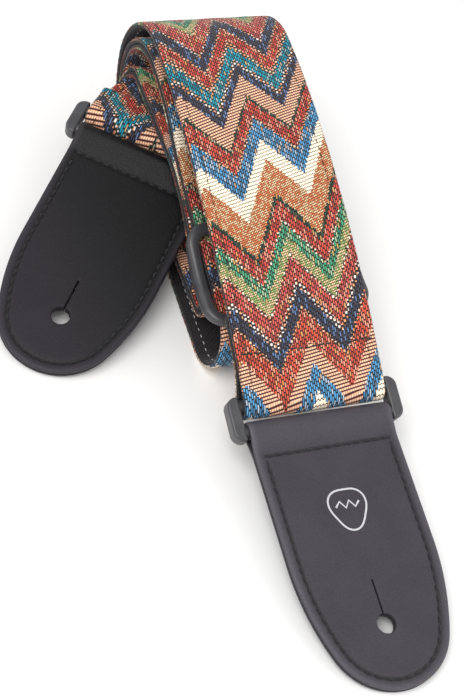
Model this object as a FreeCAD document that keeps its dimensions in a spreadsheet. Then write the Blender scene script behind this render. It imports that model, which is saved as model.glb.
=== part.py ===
import FreeCAD, Part
import math, os

# Adjustable two-inch guitar strap, lying coiled on a flat surface.
# A black webbing carries a patterned ribbon on its outer face.  One end is sewn
# round the front ring, the other passes the rear ring, runs back along itself
# and is sewn round the middle bar of the slider, which the strap threads.
# Frame: +Z up, +Y away from the front leather end, +X to the right.  Millimetres.

V = FreeCAD.Vector
doc = FreeCAD.newDocument("guitar_strap")

# ---------------------------------------------------------------- sheet
sheet = doc.addObject("Spreadsheet::Sheet", "sizes")
CELLS = [
    ("strap_width", 50.0), ("web_thick", 1.3), ("ribbon_thick", 0.7),
    ("pass_gap", 0.4), ("seam_inset", 3.4), ("thread_wide", 0.55), ("thread_high", 0.14),
    ("ring_wide", 61.0), ("ring_bar", 4.6), ("ring_pitch", 8.8), ("ring_end", 4.3),
    ("ring_end_long", 15.0), ("ring_end_thick", 5.2), ("ring_round", 1.6),
    ("bar_clear", 0.10),
    ("end_half", 25.4), ("end_straight", 46.0), ("end_long", 91.0), ("tip_radius", 21.0),
    ("ply", 1.2), ("core", 0.9), ("ply_gap", 1.0), ("converge", 7.4),
    ("cross_at", 8.4), ("hole_at", 70.0), ("hole_radius", 3.25), ("slit_end", 55.6), ("slit_wide", 0.9),
    ("stitch_inset", 3.3), ("stitch_pitch", 3.5), ("stitch_long", 2.5), ("stitch_wide", 0.7), ("stitch_high", 0.35),
    ("slider_wide", 61.0), ("slider_long", 38.0), ("slider_thick", 3.2), ("slot_wide", 52.4),
    ("slider_bar", 4.6), ("middle_bar", 5.0), ("slider_corner", 5.0), ("slider_round", 1.1),
    ("front_ring_y", 4.2), ("front_ring_z", 19.2), ("front_ring_tilt", 17.0), ("front_end_tilt", 9.3),
    ("rear_ring_tilt", 9.0), ("rear_end_tilt", 13.25), ("rear_turn", 48.0), ("rear_end_turn", 39.0),
    ("top_y", 131.5), ("top_height", 56.0), ("floor_face", 2.16),
    ("inner_top", 49.5), ("inner_low", 8.5), ("third_height", 34.0), ("third_radius", 5.0),
    ("front_fold_y", 40.0), ("front_fold_radius", 10.0), ("inner_fold_y", 54.0), ("inner_fold_radius", 4.25),
    ("lean", 16.0), ("rear_reach", 23.0), ("slider_y", 52.0), ("tail_end_y", 30.0), ("seam_y", 17.6), ("origin_x", 28.2), ("origin_y", -33.1),
]
for i, (name, value) in enumerate(CELLS):
    cell = "B%d" % (i + 1)
    sheet.set("A%d" % (i + 1), name)
    sheet.set(cell, str(value))
    sheet.setAlias(cell, name)
doc.recompute()
S = {name: float(sheet.get(name)) for name, _ in CELLS}
HW = S["strap_width"] / 2.0
TW = S["web_thick"]
TR = S["web_thick"] + S["ribbon_thick"]
GAP = S["pass_gap"]

# ---------------------------------------------------------------- strap path
# The strap is a strip that only bends, so it is a list of straight rulings:
# each one is (left point, right point, unit normal towards the patterned face).


def unit(v):
    return v * (1.0 / v.Length)


def hermite(p0, a0, p1, a1, n, k=1.0):
    """Points of a cubic in the YZ plane from p0 heading a0 to p1 heading a1 (degrees)."""
    d = math.hypot(p1[0] - p0[0], p1[1] - p0[1]) * k
    t0 = (math.cos(math.radians(a0)) * d, math.sin(math.radians(a0)) * d)
    t1 = (math.cos(math.radians(a1)) * d, math.sin(math.radians(a1)) * d)
    out = []
    for i in range(n + 1):
        t = i / float(n)
        h00 = 2 * t ** 3 - 3 * t ** 2 + 1
        h10 = t ** 3 - 2 * t ** 2 + t
        h01 = -2 * t ** 3 + 3 * t ** 2
        h11 = t ** 3 - t ** 2
        out.append((h00 * p0[0] + h10 * t0[0] + h01 * p1[0] + h11 * t1[0],
                    h00 * p0[1] + h10 * t0[1] + h01 * p1[1] + h11 * t1[1]))
    return out


def arc(c, r, a0, a1, n):
    """Points on a circle about c from angle a0 to a1 (degrees)."""
    return [(c[0] + r * math.cos(math.radians(a0 + (a1 - a0) * i / float(n))),
             c[1] + r * math.sin(math.radians(a0 + (a1 - a0) * i / float(n)))) for i in range(n + 1)]


def join(*lists):
    out = []
    for pts in lists:
        for p in pts:
            if not out or math.hypot(p[0] - out[-1][0], p[1] - out[-1][1]) > 0.25:
                out.append(p)
    return out


def side_stations(pts, side, shift):
    """Rulings along X for a side-view polyline; side=+1 puts the pattern on the left of the heading."""
    out = []
    n = len(pts)
    for i, (y, z) in enumerate(pts):
        a = pts[max(0, i - 1)]
        b = pts[min(n - 1, i + 1)]
        d = math.hypot(b[0] - a[0], b[1] - a[1])
        ty, tz = (b[0] - a[0]) / d, (b[1] - a[1]) / d
        nrm = V(0, -tz * side, ty * side)
        x = shift(y, z) if callable(shift) else shift
        out.append((V(x - HW, y, z), V(x + HW, y, z), nrm))
    return out


# ring and slider positions seen from the side
Q1 = (S["front_ring_y"], S["front_ring_z"])
RB = S["ring_bar"] / 2.0 + S["bar_clear"]
TOP = (S["top_y"], (S["top_height"] + S["floor_face"]) / 2.0)
R1 = (S["top_height"] - S["floor_face"]) / 2.0
R2 = (S["inner_top"] - S["inner_low"]) / 2.0
C2 = (S["top_y"] + 1.5, (S["inner_top"] + S["inner_low"]) / 2.0)
LEAN = S["lean"]
RF = S["front_fold_radius"]
CF = (S["front_fold_y"], S["floor_face"] + RF)
RI = S["inner_fold_radius"]
CI = (S["inner_fold_y"], S["inner_low"] + RI)


def shift_first(y, z):
    return 0.4 + 3.2 * max(0.0, min(1.0, y / 145.0)) ** 2


def shift_low(y, z):
    return 0.4 + 3.2 * max(0.0, min(1.0, (y - 20) / 125.0))


def shift_inner(y, z):
    return 3.0 + 0.4 * max(0.0, min(1.0, (y - 40) / 100.0))


# first part: tail under the front ring, round its bar, up over the top and back along the floor
a_up = 28.0
wrap = arc(Q1, RB, -50, -(360 - 90 - a_up), 14)
up = hermite(wrap[-1], a_up, (S["top_y"], S["top_height"]), 0.0, 22, 0.98)


def up_at(y):
    for p, q in zip(up[:-1], up[1:]):
        if p[0] <= y <= q[0]:
            t = (y - p[0]) / (q[0] - p[0])
            a_ = math.atan2(q[1] - p[1], q[0] - p[0])
            return p[1] + (q[1] - p[1]) * t, a_


def below_up(y, drop):
    z, a_ = up_at(y)
    return (y + math.sin(a_) * drop, z - math.cos(a_) * drop)


tail_flat = [below_up(y, GAP) for y in (S["tail_end_y"], 27.0, 24.0, 21.0, 18.0, 15.0)]
tail_pts = tail_flat + hermite(tail_flat[-1], 180 + 28, wrap[0], 180 + 40, 6, 0.9)[1:-1]
over = arc(TOP, R1, 90, -90, 18)
first_pts = join(tail_pts, wrap, up, over)
low_run = [(S["top_y"] - 30, S["floor_face"]), (S["top_y"] - 60, S["floor_face"]), (S["front_fold_y"], S["floor_face"])]
fold = arc(CF, RF, -90, -(360 - 90 - LEAN), 14)
start_l2 = fold[-1]
ls, lc = math.sin(math.radians(LEAN)), math.cos(math.radians(LEAN))


def lean_pt(s, q):
    """Point at distance s along the second run and q above its inner face, s=0 at the slider's middle."""
    y0 = S["slider_y"]
    z0 = start_l2[1] + (y0 - start_l2[0]) * ls / lc
    return (y0 + s * lc - q * ls, z0 + s * ls + q * lc)


# the second run passes straight through the slider
weave = [lean_pt(q, 0.0) for q in (-6.0, 6.0, 18.0, 24.0, 30.0)]
second = join([start_l2], weave, hermite(weave[-1], LEAN, (C2[0], S["inner_top"]), 0.0, 10, 0.98),
              arc(C2, R2, 90, -90, 16), [(C2[0] - 35, S["inner_low"]), (CI[0], S["inner_low"])],
              arc(CI, RI, -90, -(360 - 90 - 14.5), 12))
# third run flattens out before the slanting fold
FLAT_Y = 100.0
third = hermite(second[-1], 14.5, (FLAT_Y, S["third_height"]), 0.0, 8, 0.9)

third.append((FLAT_Y + 1.5, S["third_height"]))
pts_all = join(first_pts, low_run, fold, second, third)
N_FIRST = len(join(first_pts))
N_SECOND = len(join(first_pts, low_run, fold))
Z_FOLD = start_l2[1] - S["floor_face"]


def shift_at(i):
    y, z = pts_all[i]
    if i < N_FIRST:
        return shift_first(y, z)
    if i < N_SECOND:
        if z < S["floor_face"] + 0.01:
            return 0.6 + 3.0 * max(0.0, (y - S["front_fold_y"]) / (S["top_y"] - S["front_fold_y"]))
        return 0.6 + 2.4 * (z - S["floor_face"]) / Z_FOLD
    return 3.0


st_main = []
for i, (l, r_, n_) in enumerate(side_stations(pts_all, +1, 0.0)):
    dx = V(shift_at(i), 0, 0)
    st_main.append([l + dx, r_ + dx, n_])

# slanting fold: the strip meets it straight on and leaves turned by rear_turn
TURN = math.radians(S["rear_turn"])
half = TURN / 2.0
A_DIR = V(-math.cos(half), math.sin(half), 0)        # fold axis, pointing left and back
B_DIR = V(math.sin(half), math.cos(half), 0)         # horizontal, square to the axis, pointing out
R3 = S["third_radius"]
FOLD_C = V(3.0, 130.0, S["third_height"])             # where the strip's middle meets the fold
d_in = V(0, 1, 0)
w_in = V(1, 0, 0)
d_out = V(-math.sin(TURN), -math.cos(TURN), 0)


def fold_ruling(q, radius, zc):
    """Ruling of the slanting fold at development distance q; left and right ends on the strip's edges."""
    # development: point = FOLD_C + a*A + q*B, edges at x = +-HW from the middle line (direction d_in)
    # middle line in development: a = q * tan(half) * -1 ... solved from x offset
    ends = []
    for sx in (-HW, HW):
        # FOLD_C.x + a*A.x + q*B.x = FOLD_C.x + sx
        a = (sx - q * B_DIR.x) / A_DIR.x
        ends.append(a)
    th = max(0.0, min(math.pi, q / radius))
    if q <= 0:
        b_, z_ = q, radius
    elif q >= math.pi * radius:
        b_, z_ = -(q - math.pi * radius), -radius
    else:
        b_, z_ = radius * math.sin(th), radius * math.cos(th)
    pts = [FOLD_C + A_DIR * a + B_DIR * b_ + V(0, 0, z_ - radius) for a in ends]
    nrm = B_DIR * math.sin(th) + V(0, 0, 1) * math.cos(th)
    return pts[0], pts[1], nrm


st_fold = [list(fold_ruling(-1.5, R3, 0))]
q_out = math.pi * R3
for k in range(13):
    st_fold.append(list(fold_ruling(q_out * k / 12.0, R3, 0)))
exit_l, exit_r, exit_n = st_fold[-1]
mid_exit = (exit_l + exit_r) * 0.5
st_fold.append(list(fold_ruling(q_out + 1.5, R3, 0)))
TURN_B = math.radians(S["rear_end_turn"])
d_ring = V(-math.sin(TURN_B), -math.cos(TURN_B), 0)   # from the rear ring towards the rear leather tip
w_ring = V(math.cos(TURN_B), -math.sin(TURN_B), 0)    # along the rear ring's bars, to the right
UP = V(0, 0, 1)
QB = mid_exit + d_out * S["rear_reach"] + UP * 0.2     # middle of the rear ring's strap bar
w_side = w_ring if (exit_r - exit_l).dot(w_ring) > 0 else w_ring * -1.0
hwb = HW / math.cos(TURN - TURN_B)


def ring_ruling(s_, h_, nrm):
    """Ruling parallel to the rear ring's bars, s_ beyond the bar and h_ above it."""
    m = QB + d_ring * s_ + UP * h_
    return [m - w_side * hwb, m + w_side * hwb, nrm]


# the lower pass reaches the bar, goes round it and comes back as the upper pass
st_low = []
for s_, h_ in ((-12.6, -0.2), (-11.0, -0.2), (-8.0, -0.45), (-5.0, -1.25), (-2.4, -2.1), (-0.8, -RB * 0.985)):
    sl = math.atan2(-0.9, 4.0) if -9 < s_ < -1 else 0.0
    st_low.append(ring_ruling(s_, h_, V(d_ring.x * math.sin(sl), d_ring.y * math.sin(sl), -math.cos(sl))))
for k in range(9):
    th = math.radians(-90 + 22.5 * k)
    st_low.append(ring_ruling(RB * math.cos(th), RB * math.sin(th), d_ring * math.cos(th) + UP * math.sin(th)))
for s_, h_ in ((-0.8, RB * 0.985), (-2.4, 2.15), (-5.0, 1.4), (-8.0, 0.55), (-11.0, -0.2 + GAP), (-12.6, -0.2 + GAP)):
    sl = math.atan2(0.9, 4.0) if -9 < s_ < -1 else 0.0
    st_low.append(ring_ruling(s_, h_, V(d_ring.x * math.sin(sl), d_ring.y * math.sin(sl), math.cos(sl))))

st_fwd = st_main + [list(x) for x in st_fold]
# the second pass lies on the inner face of the first, from the rear ring back to the slider
BACK_S = 27.0
back = []
for i in range(len(st_fwd) - 1, -1, -1):
    l, r_, n_ = st_fwd[i]
    if i < N_SECOND + 8:
        ym = (l.y + r_.y) / 2.0
        if (ym - S["slider_y"]) / lc < BACK_S + 2.0 or i < N_SECOND:
            break
    back.append([l - n_ * GAP, r_ - n_ * GAP, n_ * -1.0])
e = lean_pt(BACK_S, -GAP)
n2 = V(0, ls, -lc)
back.append([V(3.0 - HW, e[0], e[1]), V(3.0 + HW, e[0], e[1]), n2])
stations = st_fwd + st_low + back


def smooth_normals(st):
    """Normals square to each ruling and to the local run of the strip, on the side given."""
    out = []
    n = len(st)
    for i, (l, r_, nn) in enumerate(st):
        a, b = st[max(0, i - 1)], st[min(n - 1, i + 1)]
        run = (b[0] + b[1]) - (a[0] + a[1])
        w = r_ - l
        c = run.cross(w)
        if c.Length < 1e-6:
            c = nn
        c = unit(c)
        if c.dot(nn) < 0:
            c = c * -1.0
        out.append([l, r_, c])
    return out


def face(pts):
    return Part.Face(Part.makePolygon(pts + [pts[0]]))


def quad(a, b, c, d, out):
    n = (b - a).cross(c - a)
    if n.Length > 1e-9 and abs((d - a).dot(n) / n.Length) < 1e-6:
        out.append(face([a, b, c, d]))
    else:
        out.append(face([a, b, c]))
        out.append(face([a, c, d]))


def band(st, t0, t1, u0=None, u1=None):
    """Closed strip between heights t0 and t1 over the inner face, u0..u1 mm from the left edge."""
    rows = []
    for l, r_, n_ in st:
        w = unit(r_ - l)
        L = (r_ - l).Length
        k = L / (2.0 * HW)
        a = l if u0 is None else l + w * (u0 * k)
        b = r_ if u1 is None else l + w * (u1 * k)
        rows.append((a + n_ * t0, b + n_ * t0, b + n_ * t1, a + n_ * t1))
    fs = []
    for p, q in zip(rows[:-1], rows[1:]):
        # both faces are split along the same diagonal, so that neighbouring layers share it
        quad(p[0], p[1], q[1], q[0], fs)
        quad(p[1], p[2], q[2], q[1], fs)
        quad(p[3], q[3], q[2], p[2], fs)
        quad(p[3], p[0], q[0], q[3], fs)
    fs.append(face(list(rows[0])[::-1]))
    fs.append(face(list(rows[-1])))
    shell = Part.Shell(fs)
    if not shell.isClosed():
        shell.sewShape()
    solid = Part.Solid(shell)
    if solid.Volume < 0:
        solid.reverse()
    return solid


stations = smooth_normals(stations)
length = sum(((b[0] + b[1]) - (a[0] + a[1])).Length * 0.5 for a, b in zip(stations[:-1], stations[1:]))
print("stations %d, strap length %.0f mm, exit %s, rear bar %s" % (len(stations), length, mid_exit, QB))

items = []


def feature(name, shape, rot=None, pos=None):
    f = doc.addObject("Part::Feature", name)
    f.Label = name
    f.Shape = shape
    if pos is not None:
        f.Placement = FreeCAD.Placement(pos, rot or FreeCAD.Rotation())
    items.append(f)
    return f


web = band(stations, 0.0, TW)
feature("strap_webbing", web)
feature("pattern_ribbon", band(stations, TW, TR))
si, tw2 = S["seam_inset"], S["thread_wide"] / 2.0
TH = TR + S["thread_high"]
feature("edge_seam_left", band(stations, TR, TH, si - tw2, si + tw2))
feature("edge_seam_right", band(stations, TR, TH, 2 * HW - si - tw2, 2 * HW - si + tw2))

# ---------------------------------------------------------------- rings and slider


def bind(obj, prop, expr):
    obj.setExpression(prop, expr)


def placement_from(origin, xdir, ydir):
    """Placement that takes local X and Y to the given directions."""
    x, y = unit(xdir), unit(ydir)
    z = unit(x.cross(y))
    m = FreeCAD.Matrix(x.x, y.x, z.x, origin.x, x.y, y.y, z.y, origin.y, x.z, y.z, z.z, origin.z, 0, 0, 0, 1)
    return FreeCAD.Placement(m)


def make_ring(name, place):
    """Moulded ring: two round bars joined by two thick rounded ends; local origin on the strap bar."""
    parts = []
    for i in (0, 1):
        c = doc.addObject("Part::Cylinder", "%s_bar%d" % (name, i))
        bind(c, "Radius", "sizes.ring_bar / 2")
        bind(c, "Height", "sizes.ring_wide - sizes.ring_end")
        c.Placement = FreeCAD.Placement(V(-(S["ring_wide"] - S["ring_end"]) / 2.0, -S["ring_pitch"] * i, 0),
                                        FreeCAD.Rotation(V(0, 1, 0), 90))
        parts.append(c)
    for i, sx in enumerate((-1, 1)):
        b_ = doc.addObject("Part::Box", "%s_end%d" % (name, i))
        bind(b_, "Length", "sizes.ring_end")
        bind(b_, "Width", "sizes.ring_end_long")
        bind(b_, "Height", "sizes.ring_end_thick")
        x0 = S["ring_wide"] / 2.0 - S["ring_end"] if sx > 0 else -S["ring_wide"] / 2.0
        b_.Placement = FreeCAD.Placement(V(x0, -S["ring_pitch"] / 2.0 - S["ring_end_long"] / 2.0,
                                           -S["ring_end_thick"] / 2.0), FreeCAD.Rotation())
        doc.recompute()
        fl = doc.addObject("Part::Fillet", "%s_cap%d" % (name, i))
        fl.Base = b_
        outer, inner = [], []
        for k, e_ in enumerate(b_.Shape.Edges):
            bb = e_.BoundBox
            xs = (bb.XMin + bb.XMax) / 2.0
            on_outer = abs(xs - (x0 if sx < 0 else x0 + S["ring_end"])) < 0.01
            vertical = bb.ZLength > 1.0
            if vertical and on_outer:
                outer.append((k + 1, 3.4, 3.4))
            elif vertical:
                inner.append((k + 1, 0.6, 0.6))
        fl.Edges = outer + inner
        doc.recompute()
        f2 = doc.addObject("Part::Fillet", "%s_capround%d" % (name, i))
        f2.Base = fl
        ed = []
        for k, e_ in enumerate(fl.Shape.Edges):
            bb = e_.BoundBox
            if bb.ZLength < 0.01:
                ed.append((k + 1, S["ring_round"] * 0.55, S["ring_round"] * 0.55))
        f2.Edges = ed
        doc.recompute()
        if f2.Shape.isNull() or not f2.Shape.isValid():
            f2 = fl
        parts.append(f2)
    fuse = doc.addObject("Part::MultiFuse", name)
    fuse.Shapes = parts
    fuse.Label = name
    fuse.Placement = place
    doc.recompute()
    items.append(fuse)
    return fuse


t1 = math.radians(S["front_ring_tilt"])
fx = shift_first(0, 0)
QF = V(fx, Q1[0], Q1[1])
RF_Y = V(0, math.cos(t1), math.sin(t1))
make_ring("front_ring", placement_from(QF, V(1, 0, 0), RF_Y))
t2 = math.radians(S["rear_ring_tilt"])
RB_Y = d_ring * (-math.cos(t2)) + UP * math.sin(t2)
RB_X = w_ring if w_ring.cross(RB_Y).z > 0 else w_ring * -1.0
make_ring("rear_ring", placement_from(QB, RB_X, RB_Y))


S0 = lean_pt(0.0, 0.0)
SL_Y = V(0, lc, ls)
SL_C = V(3.0, S0[0], S0[1])
PLACE_S = placement_from(SL_C, V(1, 0, 0), SL_Y)


def rounded(sk, cx_, cy_, w_, h_, r_):
    """Closed rounded rectangle in a sketch."""
    x0, x1, y0, y1 = cx_ - w_ / 2, cx_ + w_ / 2, cy_ - h_ / 2, cy_ + h_ / 2
    z = V(0, 0, 1)
    for p_, q_ in (((x0 + r_, y0), (x1 - r_, y0)), ((x1, y0 + r_), (x1, y1 - r_)),
                   ((x1 - r_, y1), (x0 + r_, y1)), ((x0, y1 - r_), (x0, y0 + r_))):
        sk.addGeometry(Part.LineSegment(V(p_[0], p_[1], 0), V(q_[0], q_[1], 0)))
    for c_, a0, a1 in (((x1 - r_, y0 + r_), -math.pi / 2, 0), ((x1 - r_, y1 - r_), 0, math.pi / 2),
                       ((x0 + r_, y1 - r_), math.pi / 2, math.pi), ((x0 + r_, y0 + r_), math.pi, 3 * math.pi / 2)):
        sk.addGeometry(Part.ArcOfCircle(Part.Circle(V(c_[0], c_[1], 0), z, r_), a0, a1))


def origin_plane(body, role):
    for f_ in body.Origin.OriginFeatures:
        if f_.Role == role:
            return f_


def sketch_on(body, name, role):
    sk = body.newObject("Sketcher::SketchObject", name)
    sk.AttachmentSupport = [(origin_plane(body, role), "")]
    sk.MapMode = "FlatFace"
    doc.recompute()
    return sk


# slider: two side rails, two outer bars over the strap and a dropped middle bar under it
sb = doc.addObject("PartDesign::Body", "slider")
sb.Label = "slider"
sk = sketch_on(sb, "slider_side", "YZ_Plane")
HL = S["slider_long"] / 2.0
Q_TOP, Q_OUT, Q_MID, Q_LOW = 5.3, 2.3, -1.85, -4.45
ring_pts = [(-HL + 2.2, Q_TOP), (HL - 2.2, Q_TOP), (HL, Q_TOP - 2.2), (HL, Q_OUT + 0.6), (HL - 1.6, Q_OUT - 1.0),
            (5.2, Q_LOW + 0.5), (3.4, Q_LOW), (-3.4, Q_LOW), (-5.2, Q_LOW + 0.5), (-HL + 1.6, Q_OUT - 1.0),
            (-HL, Q_OUT + 0.6), (-HL, Q_TOP - 2.2)]
for p_, q_ in zip(ring_pts, ring_pts[1:] + ring_pts[:1]):
    sk.addGeometry(Part.LineSegment(V(p_[0], p_[1], 0), V(q_[0], q_[1], 0)))
doc.recompute()
pad = sb.newObject("PartDesign::Pad", "slider_block")
pad.Profile = sk
pad.Midplane = True
bind(pad, "Length", "sizes.slider_wide")
doc.recompute()
va = pad.Shape.Volume
sk2 = sketch_on(sb, "slider_openings", "YZ_Plane")
for p_, q_ in (((-30, -12), (30, -12)), ((30, -12), (30, 12)), ((30, 12), (-30, 12)), ((-30, 12), (-30, -12))):
    sk2.addGeometry(Part.LineSegment(V(p_[0], p_[1], 0), V(q_[0], q_[1], 0)))
BO = S["slider_bar"]
rounded(sk2, HL - BO / 2.0, (Q_TOP + Q_OUT) / 2.0, BO - 0.02, Q_TOP - Q_OUT - 0.02, 1.2)
rounded(sk2, -HL + BO / 2.0, (Q_TOP + Q_OUT) / 2.0, BO - 0.02, Q_TOP - Q_OUT - 0.02, 1.2)
rounded(sk2, 0.0, (Q_MID + Q_LOW) / 2.0, S["middle_bar"], Q_MID - Q_LOW, 1.1)
doc.recompute()
cut = sb.newObject("PartDesign::Pocket", "slider_window")
cut.Profile = sk2
cut.Type = 0
cut.Midplane = True
bind(cut, "Length", "sizes.slot_wide")
doc.recompute()
vb = cut.Shape.Volume
print("slider block %.0f opened %.0f solids %d" % (va, vb, len(cut.Shape.Solids)))
if not vb < va:
    raise RuntimeError("the slider's openings removed nothing")
tip = cut
edges = []
for k, e_ in enumerate(cut.Shape.Edges):
    bb = e_.BoundBox
    if bb.XLength < 0.01 and abs(abs(bb.XMin) - S["slider_wide"] / 2.0) < 0.01:
        edges.append("Edge%d" % (k + 1))
fl = sb.newObject("PartDesign::Fillet", "slider_rounding")
fl.Base = (cut, edges)
fl.Radius = S["slider_round"] * 0.6
doc.recompute()
if fl.Shape.isNull() or not fl.Shape.isValid() or "Invalid" in fl.State:
    print("slider rounding left out")
    sb.Tip = cut
    sb.removeObject(fl)
    doc.removeObject(fl.Name)
else:
    tip = fl
sb.Tip = tip
sb.Placement = PLACE_S
items.append(sb)

# sewn end of the strap round the slider's middle bar
MB = (Q_MID + Q_LOW) / 2.0
RM = (Q_MID - Q_LOW) / 2.0 + 0.15 + TW
loop_sq = [(BACK_S - 0.05, -GAP), (20.0, -GAP), (12.0, -GAP), (4.0, -GAP)]
loop_sq += [(-1.2 + RM * math.cos(math.radians(90 + 15 * k)), MB + RM * math.sin(math.radians(90 + 15 * k))) for k in range(13)]
loop_sq += [(1.5, MB - RM)]
END_Q = -GAP - 2 * TW - 0.1
loop_sq += hermite((2.5, MB - RM), 0.0, (9.5, END_Q), 0.0, 6, 0.9) + [(15.0, END_Q), (21.5, END_Q)]
loop_st = []
for s_, q_ in loop_sq:
    y_, z_ = lean_pt(s_, q_)
    loop_st.append([V(3.0 - HW, y_, z_), V(3.0 + HW, y_, z_), None])
for i, st_ in enumerate(loop_st):
    a_, b_ = loop_sq[max(0, i - 1)], loop_sq[min(len(loop_sq) - 1, i + 1)]
    d = math.hypot(b_[0] - a_[0], b_[1] - a_[1])
    ns, nq = -(b_[1] - a_[1]) / d, (b_[0] - a_[0]) / d      # left of the heading: towards the bar
    st_[2] = V(0, ns * lc - nq * ls, ns * ls + nq * lc)
feature("slider_loop_webbing", band(loop_st, 0.0, TW))


def stitch_box(l_, w_, h_):
    bx = Part.makeBox(l_, w_, h_, V(-l_ / 2.0, -w_ / 2.0, 0))
    return bx.makeChamfer(h_ * 0.4, [e_ for e_ in bx.Edges if e_.BoundBox.ZMin > h_ - 0.01])


def row(count, half_, length_, place):
    out = []
    for i in range(count):
        bx = stitch_box(length_, 0.6, 0.3)
        bx.translate(V(-half_ + (i + 0.5) * 2 * half_ / count, 0, 0))
        out.append(bx)
    c_ = Part.makeCompound(out)
    c_.Placement = place
    return out, c_


# stitched rows that close the two sewn loops
seam = []
for s_ in (12.5, 18.5):
    y_, z_ = lean_pt(s_, END_Q)
    pl = placement_from(V(3.0, y_, z_), V(1, 0, 0), SL_Y * -1.0)
    for o_ in row(15, 22.0, 2.2, FreeCAD.Placement())[0]:
        o_.Placement = pl.multiply(o_.Placement)
        seam.append(o_)
feature("slider_seam_stitching", Part.makeCompound(seam))
seam = []
zu, au = up_at(S["seam_y"])
pu = V(shift_first(S["seam_y"], zu), S["seam_y"] - math.sin(au) * TR, zu + math.cos(au) * TR)
pl = placement_from(pu, V(1, 0, 0), V(0, math.cos(au), math.sin(au)))
pl = pl.multiply(FreeCAD.Placement(V(0, 0, 0.12), FreeCAD.Rotation()))
for o_ in row(17, 24.0, 2.1, FreeCAD.Placement())[0]:
    o_.Placement = pl.multiply(o_.Placement)
    seam.append(o_)
feature("anchor_seam_stitching", Part.makeCompound(seam))

# ---------------------------------------------------------------- leather ends
# local frame of an end: origin on the ring's leather bar, local -Y towards the tip, +Z out of the face


def outline_points():
    """Tangent points of the end's outline on its right side."""
    hw, ys, r_, L = S["end_half"], S["end_straight"], S["tip_radius"], S["end_long"]
    cy = L - r_
    dy = cy - ys
    # large arc, centre (hw - R, ys), tangent inside to the tip circle centre (0, cy)
    R = (hw * hw + dy * dy - r_ * r_) / (2.0 * (hw - r_))
    cx_ = hw - R
    k = math.hypot(cx_, dy)
    tx, ty = 0 + r_ * (-cx_) / k, cy + r_ * dy / k
    return R, cx_, ys, cy, tx, ty


def half_width(s_, inset=0.0):
    R, cx_, ys, cy, tx, ty = outline_points()
    if s_ <= ys:
        return S["end_half"] - inset
    if s_ <= ty:
        return cx_ + math.sqrt(max(0.0, (R - inset) ** 2 - (s_ - ys) ** 2))
    rr = S["tip_radius"] - inset
    return math.sqrt(max(0.0, rr ** 2 - (s_ - cy) ** 2))


def origin_plane(body, role):
    for f_ in body.Origin.OriginFeatures:
        if f_.Role == role:
            return f_


def sketch_on(body, name, role):
    sk = body.newObject("Sketcher::SketchObject", name)
    sk.AttachmentSupport = [(origin_plane(body, role), "")]
    sk.MapMode = "FlatFace"
    doc.recompute()
    return sk


def outline_edges(sk, s0, inset=0.0):
    """Outline of an end in its sketch: straight sides, long curves and a round tip (local -Y)."""
    R, cx_, ys, cy, tx, ty = outline_points()
    hw = S["end_half"] - inset
    Rr, rt = R - inset, S["tip_radius"] - inset
    k = math.hypot(cx_, cy - ys)
    tx, ty = rt * (-cx_) / k, cy + rt * (cy - ys) / k
    z = V(0, 0, 1)
    sk.addGeometry(Part.LineSegment(V(-hw, -s0, 0), V(hw, -s0, 0)))
    sk.addGeometry(Part.LineSegment(V(hw, -s0, 0), V(hw, -ys, 0)))
    a_t = math.atan2(-(ty - ys), tx - cx_)
    sk.addGeometry(Part.ArcOfCircle(Part.Circle(V(cx_, -ys, 0), z, Rr), a_t, 0.0))
    b_t = math.atan2(-(ty - cy), tx)
    sk.addGeometry(Part.ArcOfCircle(Part.Circle(V(0, -cy, 0), z, rt), -math.pi - b_t, b_t))
    sk.addGeometry(Part.ArcOfCircle(Part.Circle(V(-cx_, -ys, 0), z, Rr), math.pi, math.pi - a_t))
    sk.addGeometry(Part.LineSegment(V(-hw, -ys, 0), V(-hw, -s0, 0)))


def tangent(px, pz, r_):
    d = math.hypot(px, pz)
    a_ = math.atan2(pz, px) + math.acos(r_ / d)
    return r_ * math.cos(a_), r_ * math.sin(a_)


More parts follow.
